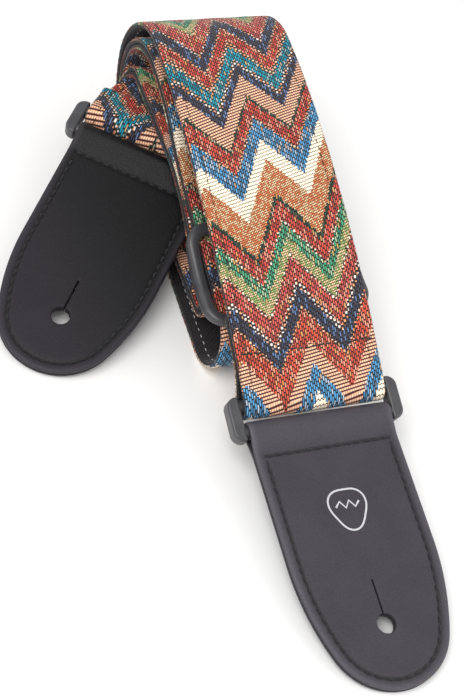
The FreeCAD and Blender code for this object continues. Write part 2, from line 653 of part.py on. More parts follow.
def make_end(prefix, place):
    L = S["end_long"]
    gap, ply = S["ply_gap"] / 2.0, S["ply"]
    ro, ri = RB + ply, RB
    cv = S["converge"]
    # folded leather: side profile padded across the strap, then cut to its outline
    body = doc.addObject("PartDesign::Body", prefix + "_end_leather")
    body.Label = prefix + "_end_leather"
    sk = sketch_on(body, prefix + "_profile", "YZ_Plane")
    # sketch axes on the YZ plane: x -> local Y, y -> local Z
    ox, oz = tangent(cv + 1.0, gap + ply, ro)
    ix, iz = tangent(cv, gap, ri)
    P = lambda a_, b_: V(-a_, b_, 0)
    far = L + 2.0
    g = [Part.LineSegment(P(far, gap + ply), P(cv + 1.0, gap + ply)),
         Part.LineSegment(P(cv + 1.0, gap + ply), P(ox, oz))]
    ao = math.atan2(oz, -ox)
    g.append(Part.ArcOfCircle(Part.Circle(V(0, 0, 0), V(0, 0, 1), ro), -ao, ao))
    g += [Part.LineSegment(P(ox, -oz), P(cv + 1.0, -gap - ply)),
          Part.LineSegment(P(cv + 1.0, -gap - ply), P(far, -gap - ply)),
          Part.LineSegment(P(far, -gap - ply), P(far, -gap)),
          Part.LineSegment(P(far, -gap), P(cv, -gap)),
          Part.LineSegment(P(cv, -gap), P(ix, -iz))]
    ai = math.atan2(iz, -ix)
    g.append(Part.ArcOfCircle(Part.Circle(V(0, 0, 0), V(0, 0, 1), ri), -ai, ai))
    g += [Part.LineSegment(P(ix, iz), P(cv, gap)),
          Part.LineSegment(P(cv, gap), P(far, gap)),
          Part.LineSegment(P(far, gap), P(far, gap + ply))]
    for x_ in g:
        sk.addGeometry(x_)
    doc.recompute()
    pad = body.newObject("PartDesign::Pad", prefix + "_fold")
    pad.Profile = sk
    pad.Midplane = True
    bind(pad, "Length", "2 * sizes.end_half")
    doc.recompute()
    v0 = pad.Shape.Volume
    # outline: a frame-shaped pocket takes away everything outside the end's edge
    so = sketch_on(body, prefix + "_outline", "XY_Plane")
    outline_edges(so, -6.0)
    W, Y0, Y1 = 40.0, 12.0, -(L + 12.0)
    for p_, q_ in (((-W, Y0), (W, Y0)), ((W, Y0), (W, Y1)), ((W, Y1), (-W, Y1)), ((-W, Y1), (-W, Y0))):
        so.addGeometry(Part.LineSegment(V(p_[0], p_[1], 0), V(q_[0], q_[1], 0)))
    doc.recompute()
    cut = body.newObject("PartDesign::Pocket", prefix + "_trim")
    cut.Profile = so
    cut.Type = 1
    cut.Midplane = True
    doc.recompute()
    v1 = cut.Shape.Volume
    # strap-button hole with its slit towards the ring
    sh = sketch_on(body, prefix + "_button_hole", "XY_Plane")
    r_, w_ = S["hole_radius"], S["slit_wide"] / 2.0
    hy, sy = -S["hole_at"], -S["slit_end"]
    a_ = math.asin(w_ / r_)
    sh.addGeometry(Part.ArcOfCircle(Part.Circle(V(0, hy, 0), V(0, 0, 1), r_), math.pi / 2 + a_, math.pi * 2 + math.pi / 2 - a_))
    ytop = hy + r_ * math.cos(a_)
    sh.addGeometry(Part.LineSegment(V(w_, ytop, 0), V(w_, sy, 0)))
    sh.addGeometry(Part.LineSegment(V(w_, sy, 0), V(-w_, sy, 0)))
    sh.addGeometry(Part.LineSegment(V(-w_, sy, 0), V(-w_, ytop, 0)))
    doc.recompute()
    hole = body.newObject("PartDesign::Pocket", prefix + "_hole")
    hole.Profile = sh
    hole.Type = 1
    hole.Midplane = True
    doc.recompute()
    v2 = hole.Shape.Volume
    print(prefix, "fold %.0f trimmed %.0f holed %.0f" % (v0, v1, v2))
    if not (v0 > v1 > v2):
        raise RuntimeError("a cut in the %s end removed nothing" % prefix)
    body.Tip = hole
    body.Placement = place
    items.append(body)

    # stiff board between the plies
    b2 = doc.addObject("PartDesign::Body", prefix + "_end_board")
    b2.Label = prefix + "_end_board"
    s2 = sketch_on(b2, prefix + "_board_outline", "XY_Plane")
    outline_edges(s2, cv + 0.3, 0.15)
    s2.addGeometry(Part.Circle(V(0, hy, 0), V(0, 0, 1), r_))
    doc.recompute()
    p2 = b2.newObject("PartDesign::Pad", prefix + "_board")
    p2.Profile = s2
    p2.Midplane = True
    bind(p2, "Length", "sizes.core")
    doc.recompute()
    s3 = sketch_on(b2, prefix + "_board_slit", "XY_Plane")
    for p_, q_ in (((-w_, ytop - 1.0), (w_, ytop - 1.0)), ((w_, ytop - 1.0), (w_, sy)), ((w_, sy), (-w_, sy)), ((-w_, sy), (-w_, ytop - 1.0))):
        s3.addGeometry(Part.LineSegment(V(p_[0], p_[1], 0), V(q_[0], q_[1], 0)))
    doc.recompute()
    c2 = b2.newObject("PartDesign::Pocket", prefix + "_board_cut")
    c2.Profile = s3
    c2.Type = 1
    c2.Midplane = True
    doc.recompute()
    b2.Tip = c2
    b2.Placement = place
    items.append(b2)

    # stitches on both faces: one row along the edge, one across below the ring loop
    face_z = gap + ply

    def stitch(x_, y_, ang, up):
        l_, w1, h_ = S["stitch_long"], S["stitch_wide"], S["stitch_high"]
        bx = Part.makeBox(l_, w1, h_, V(-l_ / 2, -w1 / 2, 0))
        bx = bx.makeChamfer(h_ * 0.45, [e_ for e_ in bx.Edges if e_.BoundBox.ZMin > h_ - 0.01])
        bx.rotate(V(0, 0, 0), V(0, 0, 1), math.degrees(ang))
        if up:
            bx.translate(V(x_, y_, face_z))
        else:
            bx.rotate(V(0, 0, 0), V(1, 0, 0), 180)
            bx.translate(V(x_, -y_ if False else y_, -face_z))
        return bx

    ins = S["stitch_inset"]
    right = []
    s_ = S["cross_at"] + 3.2
    R_, cx_, ys, cy, tx, ty = outline_points()
    while s_ < ys:
        right.append((half_width(s_, ins), s_))
        s_ += 0.25
    a0, a1 = 0.0, math.atan2(ty - ys, tx - cx_)
    n_ = 160
    for i in range(n_):
        a_ = a0 + (a1 - a0) * i / n_
        right.append((cx_ + (R_ - ins) * math.cos(a_), ys + (R_ - ins) * math.sin(a_)))
    b0 = math.atan2(ty - cy, tx)
    for i in range(n_ + 1):
        a_ = b0 + (math.pi / 2 - b0) * i / n_
        right.append(((S["tip_radius"] - ins) * math.cos(a_), cy + (S["tip_radius"] - ins) * math.sin(a_)))
    path = right + [(-x_, y_) for x_, y_ in right[::-1][1:]]
    total = sum(math.hypot(b_[0] - a_[0], b_[1] - a_[1]) for a_, b_ in zip(path[:-1], path[1:]))
    count = int(round(total / S["stitch_pitch"]))
    pitch = total / count
    edge = []
    want = pitch / 2.0
    run_ = 0.0
    for a_, b_ in zip(path[:-1], path[1:]):
        d = math.hypot(b_[0] - a_[0], b_[1] - a_[1])
        while run_ + d >= want and want < total:
            t_ = (want - run_) / d
            x_, y_ = a_[0] + (b_[0] - a_[0]) * t_, a_[1] + (b_[1] - a_[1]) * t_
            ang = math.atan2(-(b_[1] - a_[1]), b_[0] - a_[0])
            edge.append(stitch(x_, -y_, ang, True))
            edge.append(stitch(x_, -y_, ang, False))
            want += pitch
        run_ += d
    cross = []
    n_c = int((2 * (S["end_half"] - ins + 0.6)) / S["stitch_pitch"])
    for i in range(n_c):
        x_ = -(S["end_half"] - ins + 0.6) + (i + 0.5) * 2 * (S["end_half"] - ins + 0.6) / n_c
        cross.append(stitch(x_, -S["cross_at"] - 1.0, 0.0, True))
        cross.append(stitch(x_, -S["cross_at"] - 1.0, 0.0, False))
    for nm, lst in (("_edge_stitching", edge), ("_cross_stitching", cross)):
        f_ = doc.addObject("Part::Feature", prefix + nm)
        f_.Label = prefix + nm
        f_.Shape = Part.makeCompound(lst)
        f_.Placement = place
        items.append(f_)


QFL = QF - RF_Y * S["ring_pitch"]
t3 = math.radians(S["front_end_tilt"])
END_F_Y = V(0, math.cos(t3), math.sin(t3))
PLACE_F = placement_from(QFL, V(1, 0, 0), END_F_Y)
make_end("front", PLACE_F)
QBL = QB - RB_Y * S["ring_pitch"]
t4 = math.radians(S["rear_end_tilt"])
END_B_Y = d_ring * (-math.cos(t4)) + UP * math.sin(t4)
PLACE_B = placement_from(QBL, RB_X, END_B_Y)
make_end("rear", PLACE_B)

# ---------------------------------------------------------------- checks and files
doc.recompute()
for o in doc.Objects:
    if "Invalid" in o.State or "Error" in o.State:
        raise RuntimeError("%s failed: %s" % (o.Label, o.State))
os.makedirs("parts", exist_ok=True)
# the origin is at the middle of the footprint, on the surface the strap lies on
MOVE = V(S["origin_x"], S["origin_y"], 0)
for f in items:
    f.Placement = FreeCAD.Placement(MOVE, FreeCAD.Rotation()).multiply(f.Placement)
doc.recompute()
for f in items:
    sh = f.Shape
    if sh.isNull() or not sh.isValid() or sh.Volume <= 0:
        raise RuntimeError("%s has a bad shape" % f.Label)
box = None
for f in items:
    bb = f.Shape.BoundBox
    box = bb if box is None else box.united(bb)
    print("%-24s %9.1f mm3 solids %3d  %s" % (f.Label, f.Shape.Volume, len(f.Shape.Solids), bb))
    f.Shape.exportStep("parts/%s.step" % f.Label)
print("box centre %.3f %.3f, low %.3f, size %.1f %.1f %.1f" % (box.Center.x, box.Center.y, box.ZMin, box.XLength, box.YLength, box.ZLength))
print("front leather bar", QFL, "rear leather bar", QBL, "front ring bar", QF, "rear ring bar", QB, "dirs", RF_Y, RB_Y, END_F_Y, END_B_Y, RB_X)
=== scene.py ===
import math
import random

import bmesh
import bpy
import numpy as np
from mathutils import Matrix, Vector
from mathutils.geometry import delaunay_2d_cdt


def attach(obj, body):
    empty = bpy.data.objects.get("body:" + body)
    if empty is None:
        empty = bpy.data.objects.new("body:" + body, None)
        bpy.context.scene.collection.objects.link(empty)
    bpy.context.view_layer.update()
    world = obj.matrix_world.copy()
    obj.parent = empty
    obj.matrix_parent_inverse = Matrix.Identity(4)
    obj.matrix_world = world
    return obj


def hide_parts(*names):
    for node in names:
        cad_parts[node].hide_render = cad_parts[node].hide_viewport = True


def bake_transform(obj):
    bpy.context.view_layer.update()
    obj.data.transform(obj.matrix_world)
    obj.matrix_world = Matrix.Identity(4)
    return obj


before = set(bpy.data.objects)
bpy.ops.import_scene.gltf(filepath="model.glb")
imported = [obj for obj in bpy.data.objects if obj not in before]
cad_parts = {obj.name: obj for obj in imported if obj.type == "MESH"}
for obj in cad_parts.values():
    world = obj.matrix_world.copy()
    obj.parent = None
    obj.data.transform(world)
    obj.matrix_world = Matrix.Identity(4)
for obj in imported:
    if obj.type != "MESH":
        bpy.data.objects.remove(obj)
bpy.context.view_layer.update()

random.seed(7)
# ------------------------------------------------------------------ strap path, millimetres
# Straight rulings (left point, right point, unit normal towards the patterned face), as in the CAD source.
W2, TW, TR, GAP = 25.0, 1.3, 2.0, 0.4
MOVE = np.array([28.2, -33.1, 0.0])


def P(*v):
    return np.array(v, float)


def unit(v):
    return v / np.linalg.norm(v)


def hermite(p0, a0, p1, a1, n, k=1.0):
    d = math.hypot(p1[0] - p0[0], p1[1] - p0[1]) * k
    t0 = (math.cos(math.radians(a0)) * d, math.sin(math.radians(a0)) * d)
    t1 = (math.cos(math.radians(a1)) * d, math.sin(math.radians(a1)) * d)
    out = []
    for i in range(n + 1):
        t = i / n
        h0, h1 = 2 * t ** 3 - 3 * t ** 2 + 1, t ** 3 - 2 * t ** 2 + t
        h2, h3 = -2 * t ** 3 + 3 * t ** 2, t ** 3 - t ** 2
        out.append((h0 * p0[0] + h1 * t0[0] + h2 * p1[0] + h3 * t1[0], h0 * p0[1] + h1 * t0[1] + h2 * p1[1] + h3 * t1[1]))
    return out


def arc(c, r, a0, a1, n):
    return [(c[0] + r * math.cos(math.radians(a0 + (a1 - a0) * i / n)), c[1] + r * math.sin(math.radians(a0 + (a1 - a0) * i / n))) for i in range(n + 1)]


def join(*lists):
    out = []
    for pts in lists:
        for p in pts:
            if not out or math.hypot(p[0] - out[-1][0], p[1] - out[-1][1]) > 0.25:
                out.append(p)
    return out


Q1, RB = (4.2, 19.2), 2.4
TOP, R1 = (131.5, (56.0 + 2.16) / 2), (56.0 - 2.16) / 2
R2, C2 = (49.5 - 8.5) / 2, (133.0, (49.5 + 8.5) / 2)
LEAN, RF, CF = 16.0, 10.0, (40.0, 12.16)
RI, CI = 4.25, (54.0, 12.75)
LS, LC = math.sin(math.radians(LEAN)), math.cos(math.radians(LEAN))
wrap = arc(Q1, RB, -50, -242, 14)
up = hermite(wrap[-1], 28.0, (131.5, 56.0), 0.0, 22, 0.98)


def up_at(y):
    for p, q in zip(up[:-1], up[1:]):
        if p[0] <= y <= q[0]:
            t = (y - p[0]) / (q[0] - p[0])
            return p[1] + (q[1] - p[1]) * t, math.atan2(q[1] - p[1], q[0] - p[0])


def below_up(y, drop):
    z, a = up_at(y)
    return (y + math.sin(a) * drop, z - math.cos(a) * drop)


tail_flat = [below_up(y, GAP) for y in (30.0, 27.0, 24.0, 21.0, 18.0, 15.0)]
tail_pts = tail_flat + hermite(tail_flat[-1], 208, wrap[0], 220, 6, 0.9)[1:-1]
over = arc(TOP, R1, 90, -90, 18)
first_pts = join(tail_pts, wrap, up, over)
low_run = [(129.5, 2.16), (126.5, 2.16), (101.5, 2.16), (71.5, 2.16), (46.0, 2.16), (42.5, 2.16), (40.0, 2.16)]
fold = arc(CF, RF, -90, -(270 - LEAN), 14)
start_l2 = fold[-1]


def lean_pt(s, q):
    """s along the second run from the slider's middle, q above its inner face."""
    z0 = start_l2[1] + (52.0 - start_l2[0]) * LS / LC
    return (52.0 + s * LC - q * LS, z0 + s * LS + q * LC)


weave = [lean_pt(q, 0.0) for q in (-6.0, 6.0, 18.0, 24.0, 30.0)]
second = join([start_l2], weave, hermite(weave[-1], LEAN, (C2[0], 49.5), 0.0, 10, 0.98), arc(C2, R2, 90, -90, 16),
              [(C2[0] - 2.5, 8.5), (C2[0] - 6, 8.5), (C2[0] - 35, 8.5), (CI[0] + 6, 8.5), (CI[0] + 2.5, 8.5), (CI[0], 8.5)], arc(CI, RI, -90, -(270 - 14.5), 12))
third = hermite(second[-1], 14.5, (100.0, 34.0), 0.0, 8, 0.9) + [(101.5, 34.0)]
pts_all = join(first_pts, low_run, fold, second, third)
N_FIRST, N_SECOND = len(join(first_pts)), len(join(first_pts, low_run, fold))


def shift_at(i):
    y, z = pts_all[i]
    if i < N_FIRST:
        return 0.4 + 3.2 * max(0.0, min(1.0, y / 145.0)) ** 2
    if i < N_SECOND:
        if z < 2.17:
            return 0.6 + 3.0 * max(0.0, (y - 40.0) / 91.5)
        return 0.6 + 2.4 * (z - 2.16) / (start_l2[1] - 2.16)
    return 3.0


st_main = []
for i, (y, z) in enumerate(pts_all):
    a, b = pts_all[max(0, i - 1)], pts_all[min(len(pts_all) - 1, i + 1)]
    d = math.hypot(b[0] - a[0], b[1] - a[1])
    x = shift_at(i)
    st_main.append([P(x - W2, y, z), P(x + W2, y, z), P(0, -(b[1] - a[1]) / d, (b[0] - a[0]) / d)])
TURN, R3 = math.radians(48.0), 5.0
A_DIR, B_DIR = P(-math.cos(TURN / 2), math.sin(TURN / 2), 0), P(math.sin(TURN / 2), math.cos(TURN / 2), 0)
FOLD_C, d_out, UP = P(3.0, 130.0, 34.0), P(-math.sin(TURN), -math.cos(TURN), 0), P(0, 0, 1)


def fold_ruling(q):
    ends = [(sx - q * B_DIR[0]) / A_DIR[0] for sx in (-W2, W2)]
    th = max(0.0, min(math.pi, q / R3))
    if q <= 0:
        b, z = q, R3
    elif q >= math.pi * R3:
        b, z = -(q - math.pi * R3), -R3
    else:
        b, z = R3 * math.sin(th), R3 * math.cos(th)
    pts = [FOLD_C + A_DIR * a + B_DIR * b + UP * (z - R3) for a in ends]
    return [pts[0], pts[1], B_DIR * math.sin(th) + UP * math.cos(th)]


q_out = math.pi * R3
st_fold = [fold_ruling(-1.5)] + [fold_ruling(q_out * k / 12.0) for k in range(13)]
exit_l, exit_r, _ = st_fold[-1]
mid_exit = (exit_l + exit_r) / 2
st_fold.append(fold_ruling(q_out + 1.5))
TB = math.radians(39.0)
d_ring, w_ring = P(-math.sin(TB), -math.cos(TB), 0), P(math.cos(TB), -math.sin(TB), 0)
QB = mid_exit + d_out * 23.0 + UP * 0.2
w_side = w_ring if (exit_r - exit_l) @ w_ring > 0 else -w_ring
hwb = W2 / math.cos(TURN - TB)


def ring_ruling(s, h, n):
    m = QB + d_ring * s + UP * h
    return [m - w_side * hwb, m + w_side * hwb, n]


st_low = []
for s, h in ((-12.6, -0.2), (-11.0, -0.2), (-8.0, -0.45), (-5.0, -1.25), (-2.4, -2.1), (-0.8, -RB * 0.985)):
    st_low.append(ring_ruling(s, h, -UP))
for k in range(9):
    th = math.radians(-90 + 22.5 * k)
    st_low.append(ring_ruling(RB * math.cos(th), RB * math.sin(th), d_ring * math.cos(th) + UP * math.sin(th)))
for s, h in ((-0.8, RB * 0.985), (-2.4, 2.15), (-5.0, 1.4), (-8.0, 0.55), (-11.0, -0.2 + GAP), (-12.6, -0.2 + GAP)):
    st_low.append(ring_ruling(s, h, UP))
st_fwd = st_main + st_fold
BACK_S = 27.0
back = []
for i in range(len(st_fwd) - 1, -1, -1):
    l, r, n = st_fwd[i]
    if i < N_SECOND + 8 and (((l[1] + r[1]) / 2 - 52.0) / LC < BACK_S + 2.0 or i < N_SECOND):
        break
    back.append([l - n * GAP, r - n * GAP, -n])
e = lean_pt(BACK_S, -GAP)
back.append([P(3.0 - W2, e[0], e[1]), P(3.0 + W2, e[0], e[1]), P(0, LS, -LC)])
I_RING, I_BACK = len(st_fwd), len(st_fwd) + len(st_low)
stations = st_fwd + st_low + back


def square_normals(st):
    out = []
    for i, (l, r, n) in enumerate(st):
        a, b = st[max(0, i - 1)], st[min(len(st) - 1, i + 1)]
        c = np.cross((b[0] + b[1]) - (a[0] + a[1]), r - l)
        c = n if np.linalg.norm(c) < 1e-6 else unit(c)
        out.append([l, r, c if c @ n > 0 else -c])
    return out


def dense(st, step=1.6, turn=7.0):
    """Smooth rulings between the given ones: a cubic through both edges, finer where the strip bends."""
    st = square_normals(st)
    L, R = np.array([x[0] for x in st]), np.array([x[1] for x in st])
    N = np.array([x[2] for x in st])
    M = (L + R) / 2
    seg = np.maximum(np.linalg.norm(np.diff(M, axis=0), axis=1), 1e-6)

    def tangents(Q):
        T = np.zeros_like(Q)
        d = np.diff(Q, axis=0) / seg[:, None]
        T[0], T[-1] = d[0], d[-1]
        w = seg[1:] / (seg[1:] + seg[:-1])
        T[1:-1] = d[:-1] * w[:, None] + d[1:] * (1 - w)[:, None]
        return T
    TL, TRt = tangents(L), tangents(R)
    rows, sval, at = [], [], 0.0
    for i in range(len(st) - 1):
        ang = math.degrees(math.acos(max(-1.0, min(1.0, float(N[i] @ N[i + 1])))))
        n = max(1, int(math.ceil(max(seg[i] / step, ang / turn))))
        for k in range(n):
            t = k / n
            h0, h1, h2, h3 = 2 * t ** 3 - 3 * t ** 2 + 1, t ** 3 - 2 * t ** 2 + t, -2 * t ** 3 + 3 * t ** 2, t ** 3 - t ** 2
            l = L[i] * h0 + TL[i] * h1 * seg[i] + L[i + 1] * h2 + TL[i + 1] * h3 * seg[i]
            r = R[i] * h0 + TRt[i] * h1 * seg[i] + R[i + 1] * h2 + TRt[i + 1] * h3 * seg[i]
            nn = unit(N[i] * (1 - t) + N[i + 1] * t) if N[i] @ N[i + 1] > -0.9 else N[i]
            rows.append([l, r, nn])
            sval.append(at + seg[i] * t)
        at += seg[i]
    rows.append([L[-1], R[-1], N[-1]])
    sval.append(at)
    return square_normals(rows), np.array(sval), np.concatenate([[0], np.cumsum(seg)])


# ------------------------------------------------------------------ pattern along the strap
REPEAT, Q_LOW, T_ZIG, PEAK, DRIFT, RISE, VALLEY = 326.0, -52.0, 24.5, 20.3, 3.3, 12.0 / 24.5, 14.0
# kinds: F long floats, N navy with specks, R crosswise ribs, C cream with pin dots, S fine two-colour speckle, D beaded outline
CREAM, PEACH, WHITE = (245, 228, 205), (243, 196, 164), (236, 226, 216)
RED, BRICK, DARKRED, ORED = (222, 80, 64), (220, 92, 80), (184, 50, 46), (232, 92, 66)
NAVY, TEAL, BLUE = (62, 62, 84), (20, 158, 182), (84, 158, 208)
GREEN, LGREEN, OLIVE, ORANGE = (78, 170, 126), (158, 180, 108), (52, 78, 58), (226, 128, 78)
BANDS = [(-52, WHITE, "D"), (-46, RED, "F"), (-41.5, OLIVE, "F"), (-37.5, ORANGE, "S"), (-30.5, CREAM, "C"), (-19.5, BLUE, "F"),
         (-10, PEACH, "R"), (-3.6, ORED, "F"), (7.6, PEACH, "D"), (8.7, NAVY, "N"), (15.4, WHITE, "D"), (16.8, BRICK, "F"), (25.3, CREAM, "D"),
         (26.7, LGREEN, "S"), (31.4, GREEN, "F"), (36.6, CREAM, "D"), (38.3, RED, "F"), (43.9, OLIVE, "F"), (46.4, ORANGE, "S"),
         (59.0, CREAM, "C"), (67.4, BLUE, "F"), (75.4, PEACH, "D"), (77.6, RED, "F"), (84.9, OLIVE, "F"), (86.1, PEACH, "R"), (94.8, NAVY, "N"),
         (100.4, WHITE, "D"), (102.6, TEAL, "F"), (109.0, PEACH, "D"), (111.3, RED, "F"), (117.6, PEACH, "D"), (119.8, NAVY, "N"),
         (125.3, WHITE, "D"), (127.4, BRICK, "F"), (135.8, PEACH, "D"), (137.0, LGREEN, "S"), (140.6, GREEN, "F"), (145.6, CREAM, "D"),
         (147.0, DARKRED, "F"), (153.0, NAVY, "N"), (159.0, WHITE, "D"), (160.5, TEAL, "F"), (166.0, PEACH, "D"), (167.5, RED, "F"),
         (174.0, CREAM, "D"), (175.5, GREEN, "F"), (181.0, RED, "F"), (186.0, OLIVE, "F"), (189.0, ORANGE, "S"), (194.0, CREAM, "C"),
         (199.0, BLUE, "F"), (204.0, DARKRED, "F"), (207.0, PEACH, "R"), (211.0, NAVY, "N"), (214.5, TEAL, "F"), (219.5, PEACH, "D"),
         (221.0, RED, "F"), (228.0, PEACH, "D"), (229.5, NAVY, "N"), (236.0, WHITE, "D"), (238.0, PEACH, "R"), (247.0, OLIVE, "F"),
         (249.0, RED, "F"), (258.0, CREAM, "D"), (259.5, LGREEN, "S"), (266.0, GREEN, "F"), (272.0, CREAM, "D")]
LAP, LAP_S = 37.0, (622.0, 702.0)
KIND = {"F": 0.1, "N": 0.3, "R": 0.5, "C": 0.7, "S": 0.9, "D": 0.99}
SKEW = ([-40, 0, 20, 45, 70, 90, 105, 125, 150, 190], [0, 0.01, 0.02, 0.09, 0.20, 0.22, 0.16, 0.12, 0.10, 0.0])


def lin(c):
    out = []
    for v in c[:3]:
        v = v / 255.0
        out.append(v / 12.92 if v <= 0.04045 else ((v + 0.055) / 1.055) ** 2.4)
    return (*out, 1.0)


# ------------------------------------------------------------------ material helper
class Mat:
    def __init__(self, name):
        self.m = bpy.data.materials.new(name)
        self.m.use_nodes = True
        self.nt = self.m.node_tree
        self.nt.nodes.clear()
        self.out = self.nt.nodes.new("ShaderNodeOutputMaterial")
        self.b = self.nt.nodes.new("ShaderNodeBsdfPrincipled")
        self.nt.links.new(self.b.outputs[0], self.out.inputs[0])

    def put(self, socket, v):
        if isinstance(v, bpy.types.NodeSocket):
            self.nt.links.new(v, socket)
        elif v is not None:
            socket.default_value = v

    def set(self, **kw):
        for k, v in kw.items():
            self.put(self.b.inputs[k.replace("_", " ")], v)
        return self

    def math(self, op, a, b=None, c=None, clamp=False):
        n = self.nt.nodes.new("ShaderNodeMath")
        n.operation, n.use_clamp = op, clamp
        for s, v in zip(n.inputs, (a, b, c)):
            self.put(s, v)
        return n.outputs[0]

    def attr(self, name):
        n = self.nt.nodes.new("ShaderNodeAttribute")
        n.attribute_name = name
        return n.outputs["Vector"], n.outputs["Fac"]

    def split(self, v):
        n = self.nt.nodes.new("ShaderNodeSeparateXYZ")
        self.put(n.inputs[0], v)
        return n.outputs

    def join(self, x, y, z=0.0):
        n = self.nt.nodes.new("ShaderNodeCombineXYZ")
        for s, v in zip(n.inputs, (x, y, z)):
            self.put(s, v)
        return n.outputs[0]

    def mix(self, fac, a, b, blend="MIX"):
        n = self.nt.nodes.new("ShaderNodeMix")
        n.data_type, n.blend_type = "RGBA", blend
        self.put(n.inputs[0], fac)
        self.put(n.inputs[6], a)
        self.put(n.inputs[7], b)
        return n.outputs[2]

    def mixf(self, fac, a, b):
        n = self.nt.nodes.new("ShaderNodeMix")
        n.data_type = "FLOAT"
        self.put(n.inputs[0], fac)
        self.put(n.inputs[2], a)
        self.put(n.inputs[3], b)
        return n.outputs[0]

    def smooth(self, v, lo, hi, a=0.0, b=1.0):
        n = self.nt.nodes.new("ShaderNodeMapRange")
        n.interpolation_type = "SMOOTHSTEP"
        for s, x in zip(n.inputs, (v, lo, hi, a, b)):
            self.put(s, x)
        return n.outputs[0]

    def noise(self, vec, scale, detail=2.0, rough=0.5):
        n = self.nt.nodes.new("ShaderNodeTexNoise")
        self.put(n.inputs["Vector"], vec)
        n.inputs["Scale"].default_value = scale
        n.inputs["Detail"].default_value = detail
        n.inputs["Roughness"].default_value = rough
        return n.outputs[0]

    def voronoi(self, vec, scale, feature="F1", rand=1.0):
        n = self.nt.nodes.new("ShaderNodeTexVoronoi")
        n.feature = feature
        self.put(n.inputs["Vector"], vec)
        n.inputs["Scale"].default_value = scale
        n.inputs["Randomness"].default_value = rand
        return n.outputs["Distance"]

    def white(self, x, y):
        n = self.nt.nodes.new("ShaderNodeTexWhiteNoise")
        n.noise_dimensions = "2D"
        self.put(n.inputs["Vector"], self.join(x, y))
        return n.outputs["Value"]

    def ramp(self, fac, stops, constant=True):
        n = self.nt.nodes.new("ShaderNodeValToRGB")
        r = n.color_ramp
        r.interpolation = "CONSTANT" if constant else "LINEAR"
        while len(r.elements) < len(stops):
            r.elements.new(0.5)
        for e, (p, c) in zip(r.elements, stops):
            e.position = p
        for e, (p, c) in zip(r.elements, stops):
            e.color = c
        self.put(n.inputs[0], fac)
        return n.outputs[0], n.outputs[1]

    def bump(self, height, dist=0.0002, strength=0.6, normal=None):
        n = self.nt.nodes.new("ShaderNodeBump")
        n.inputs["Strength"].default_value = strength
        n.inputs["Distance"].default_value = dist
        self.put(n.inputs["Height"], height)
        if normal is not None:
            self.put(n.inputs["Normal"], normal)
        self.nt.links.new(n.outputs[0], self.b.inputs["Normal"])
        return n.outputs[0]

    def object_mm(self):
        n = self.nt.nodes.new("ShaderNodeTexCoord")
        s = self.nt.nodes.new("ShaderNodeVectorMath")
        s.operation = "SCALE"
        self.nt.links.new(n.outputs["Object"], s.inputs[0])
        s.inputs["Scale"].default_value = 1000.0
        return s.outputs[0]


def cell(m, v, size):
    """(whole cells, place in the cell -0.5..0.5)"""
    x = m.math("DIVIDE", v, size)
    i = m.math("FLOOR", x)
    return i, m.math("SUBTRACT", m.math("SUBTRACT", x, i), 0.5)


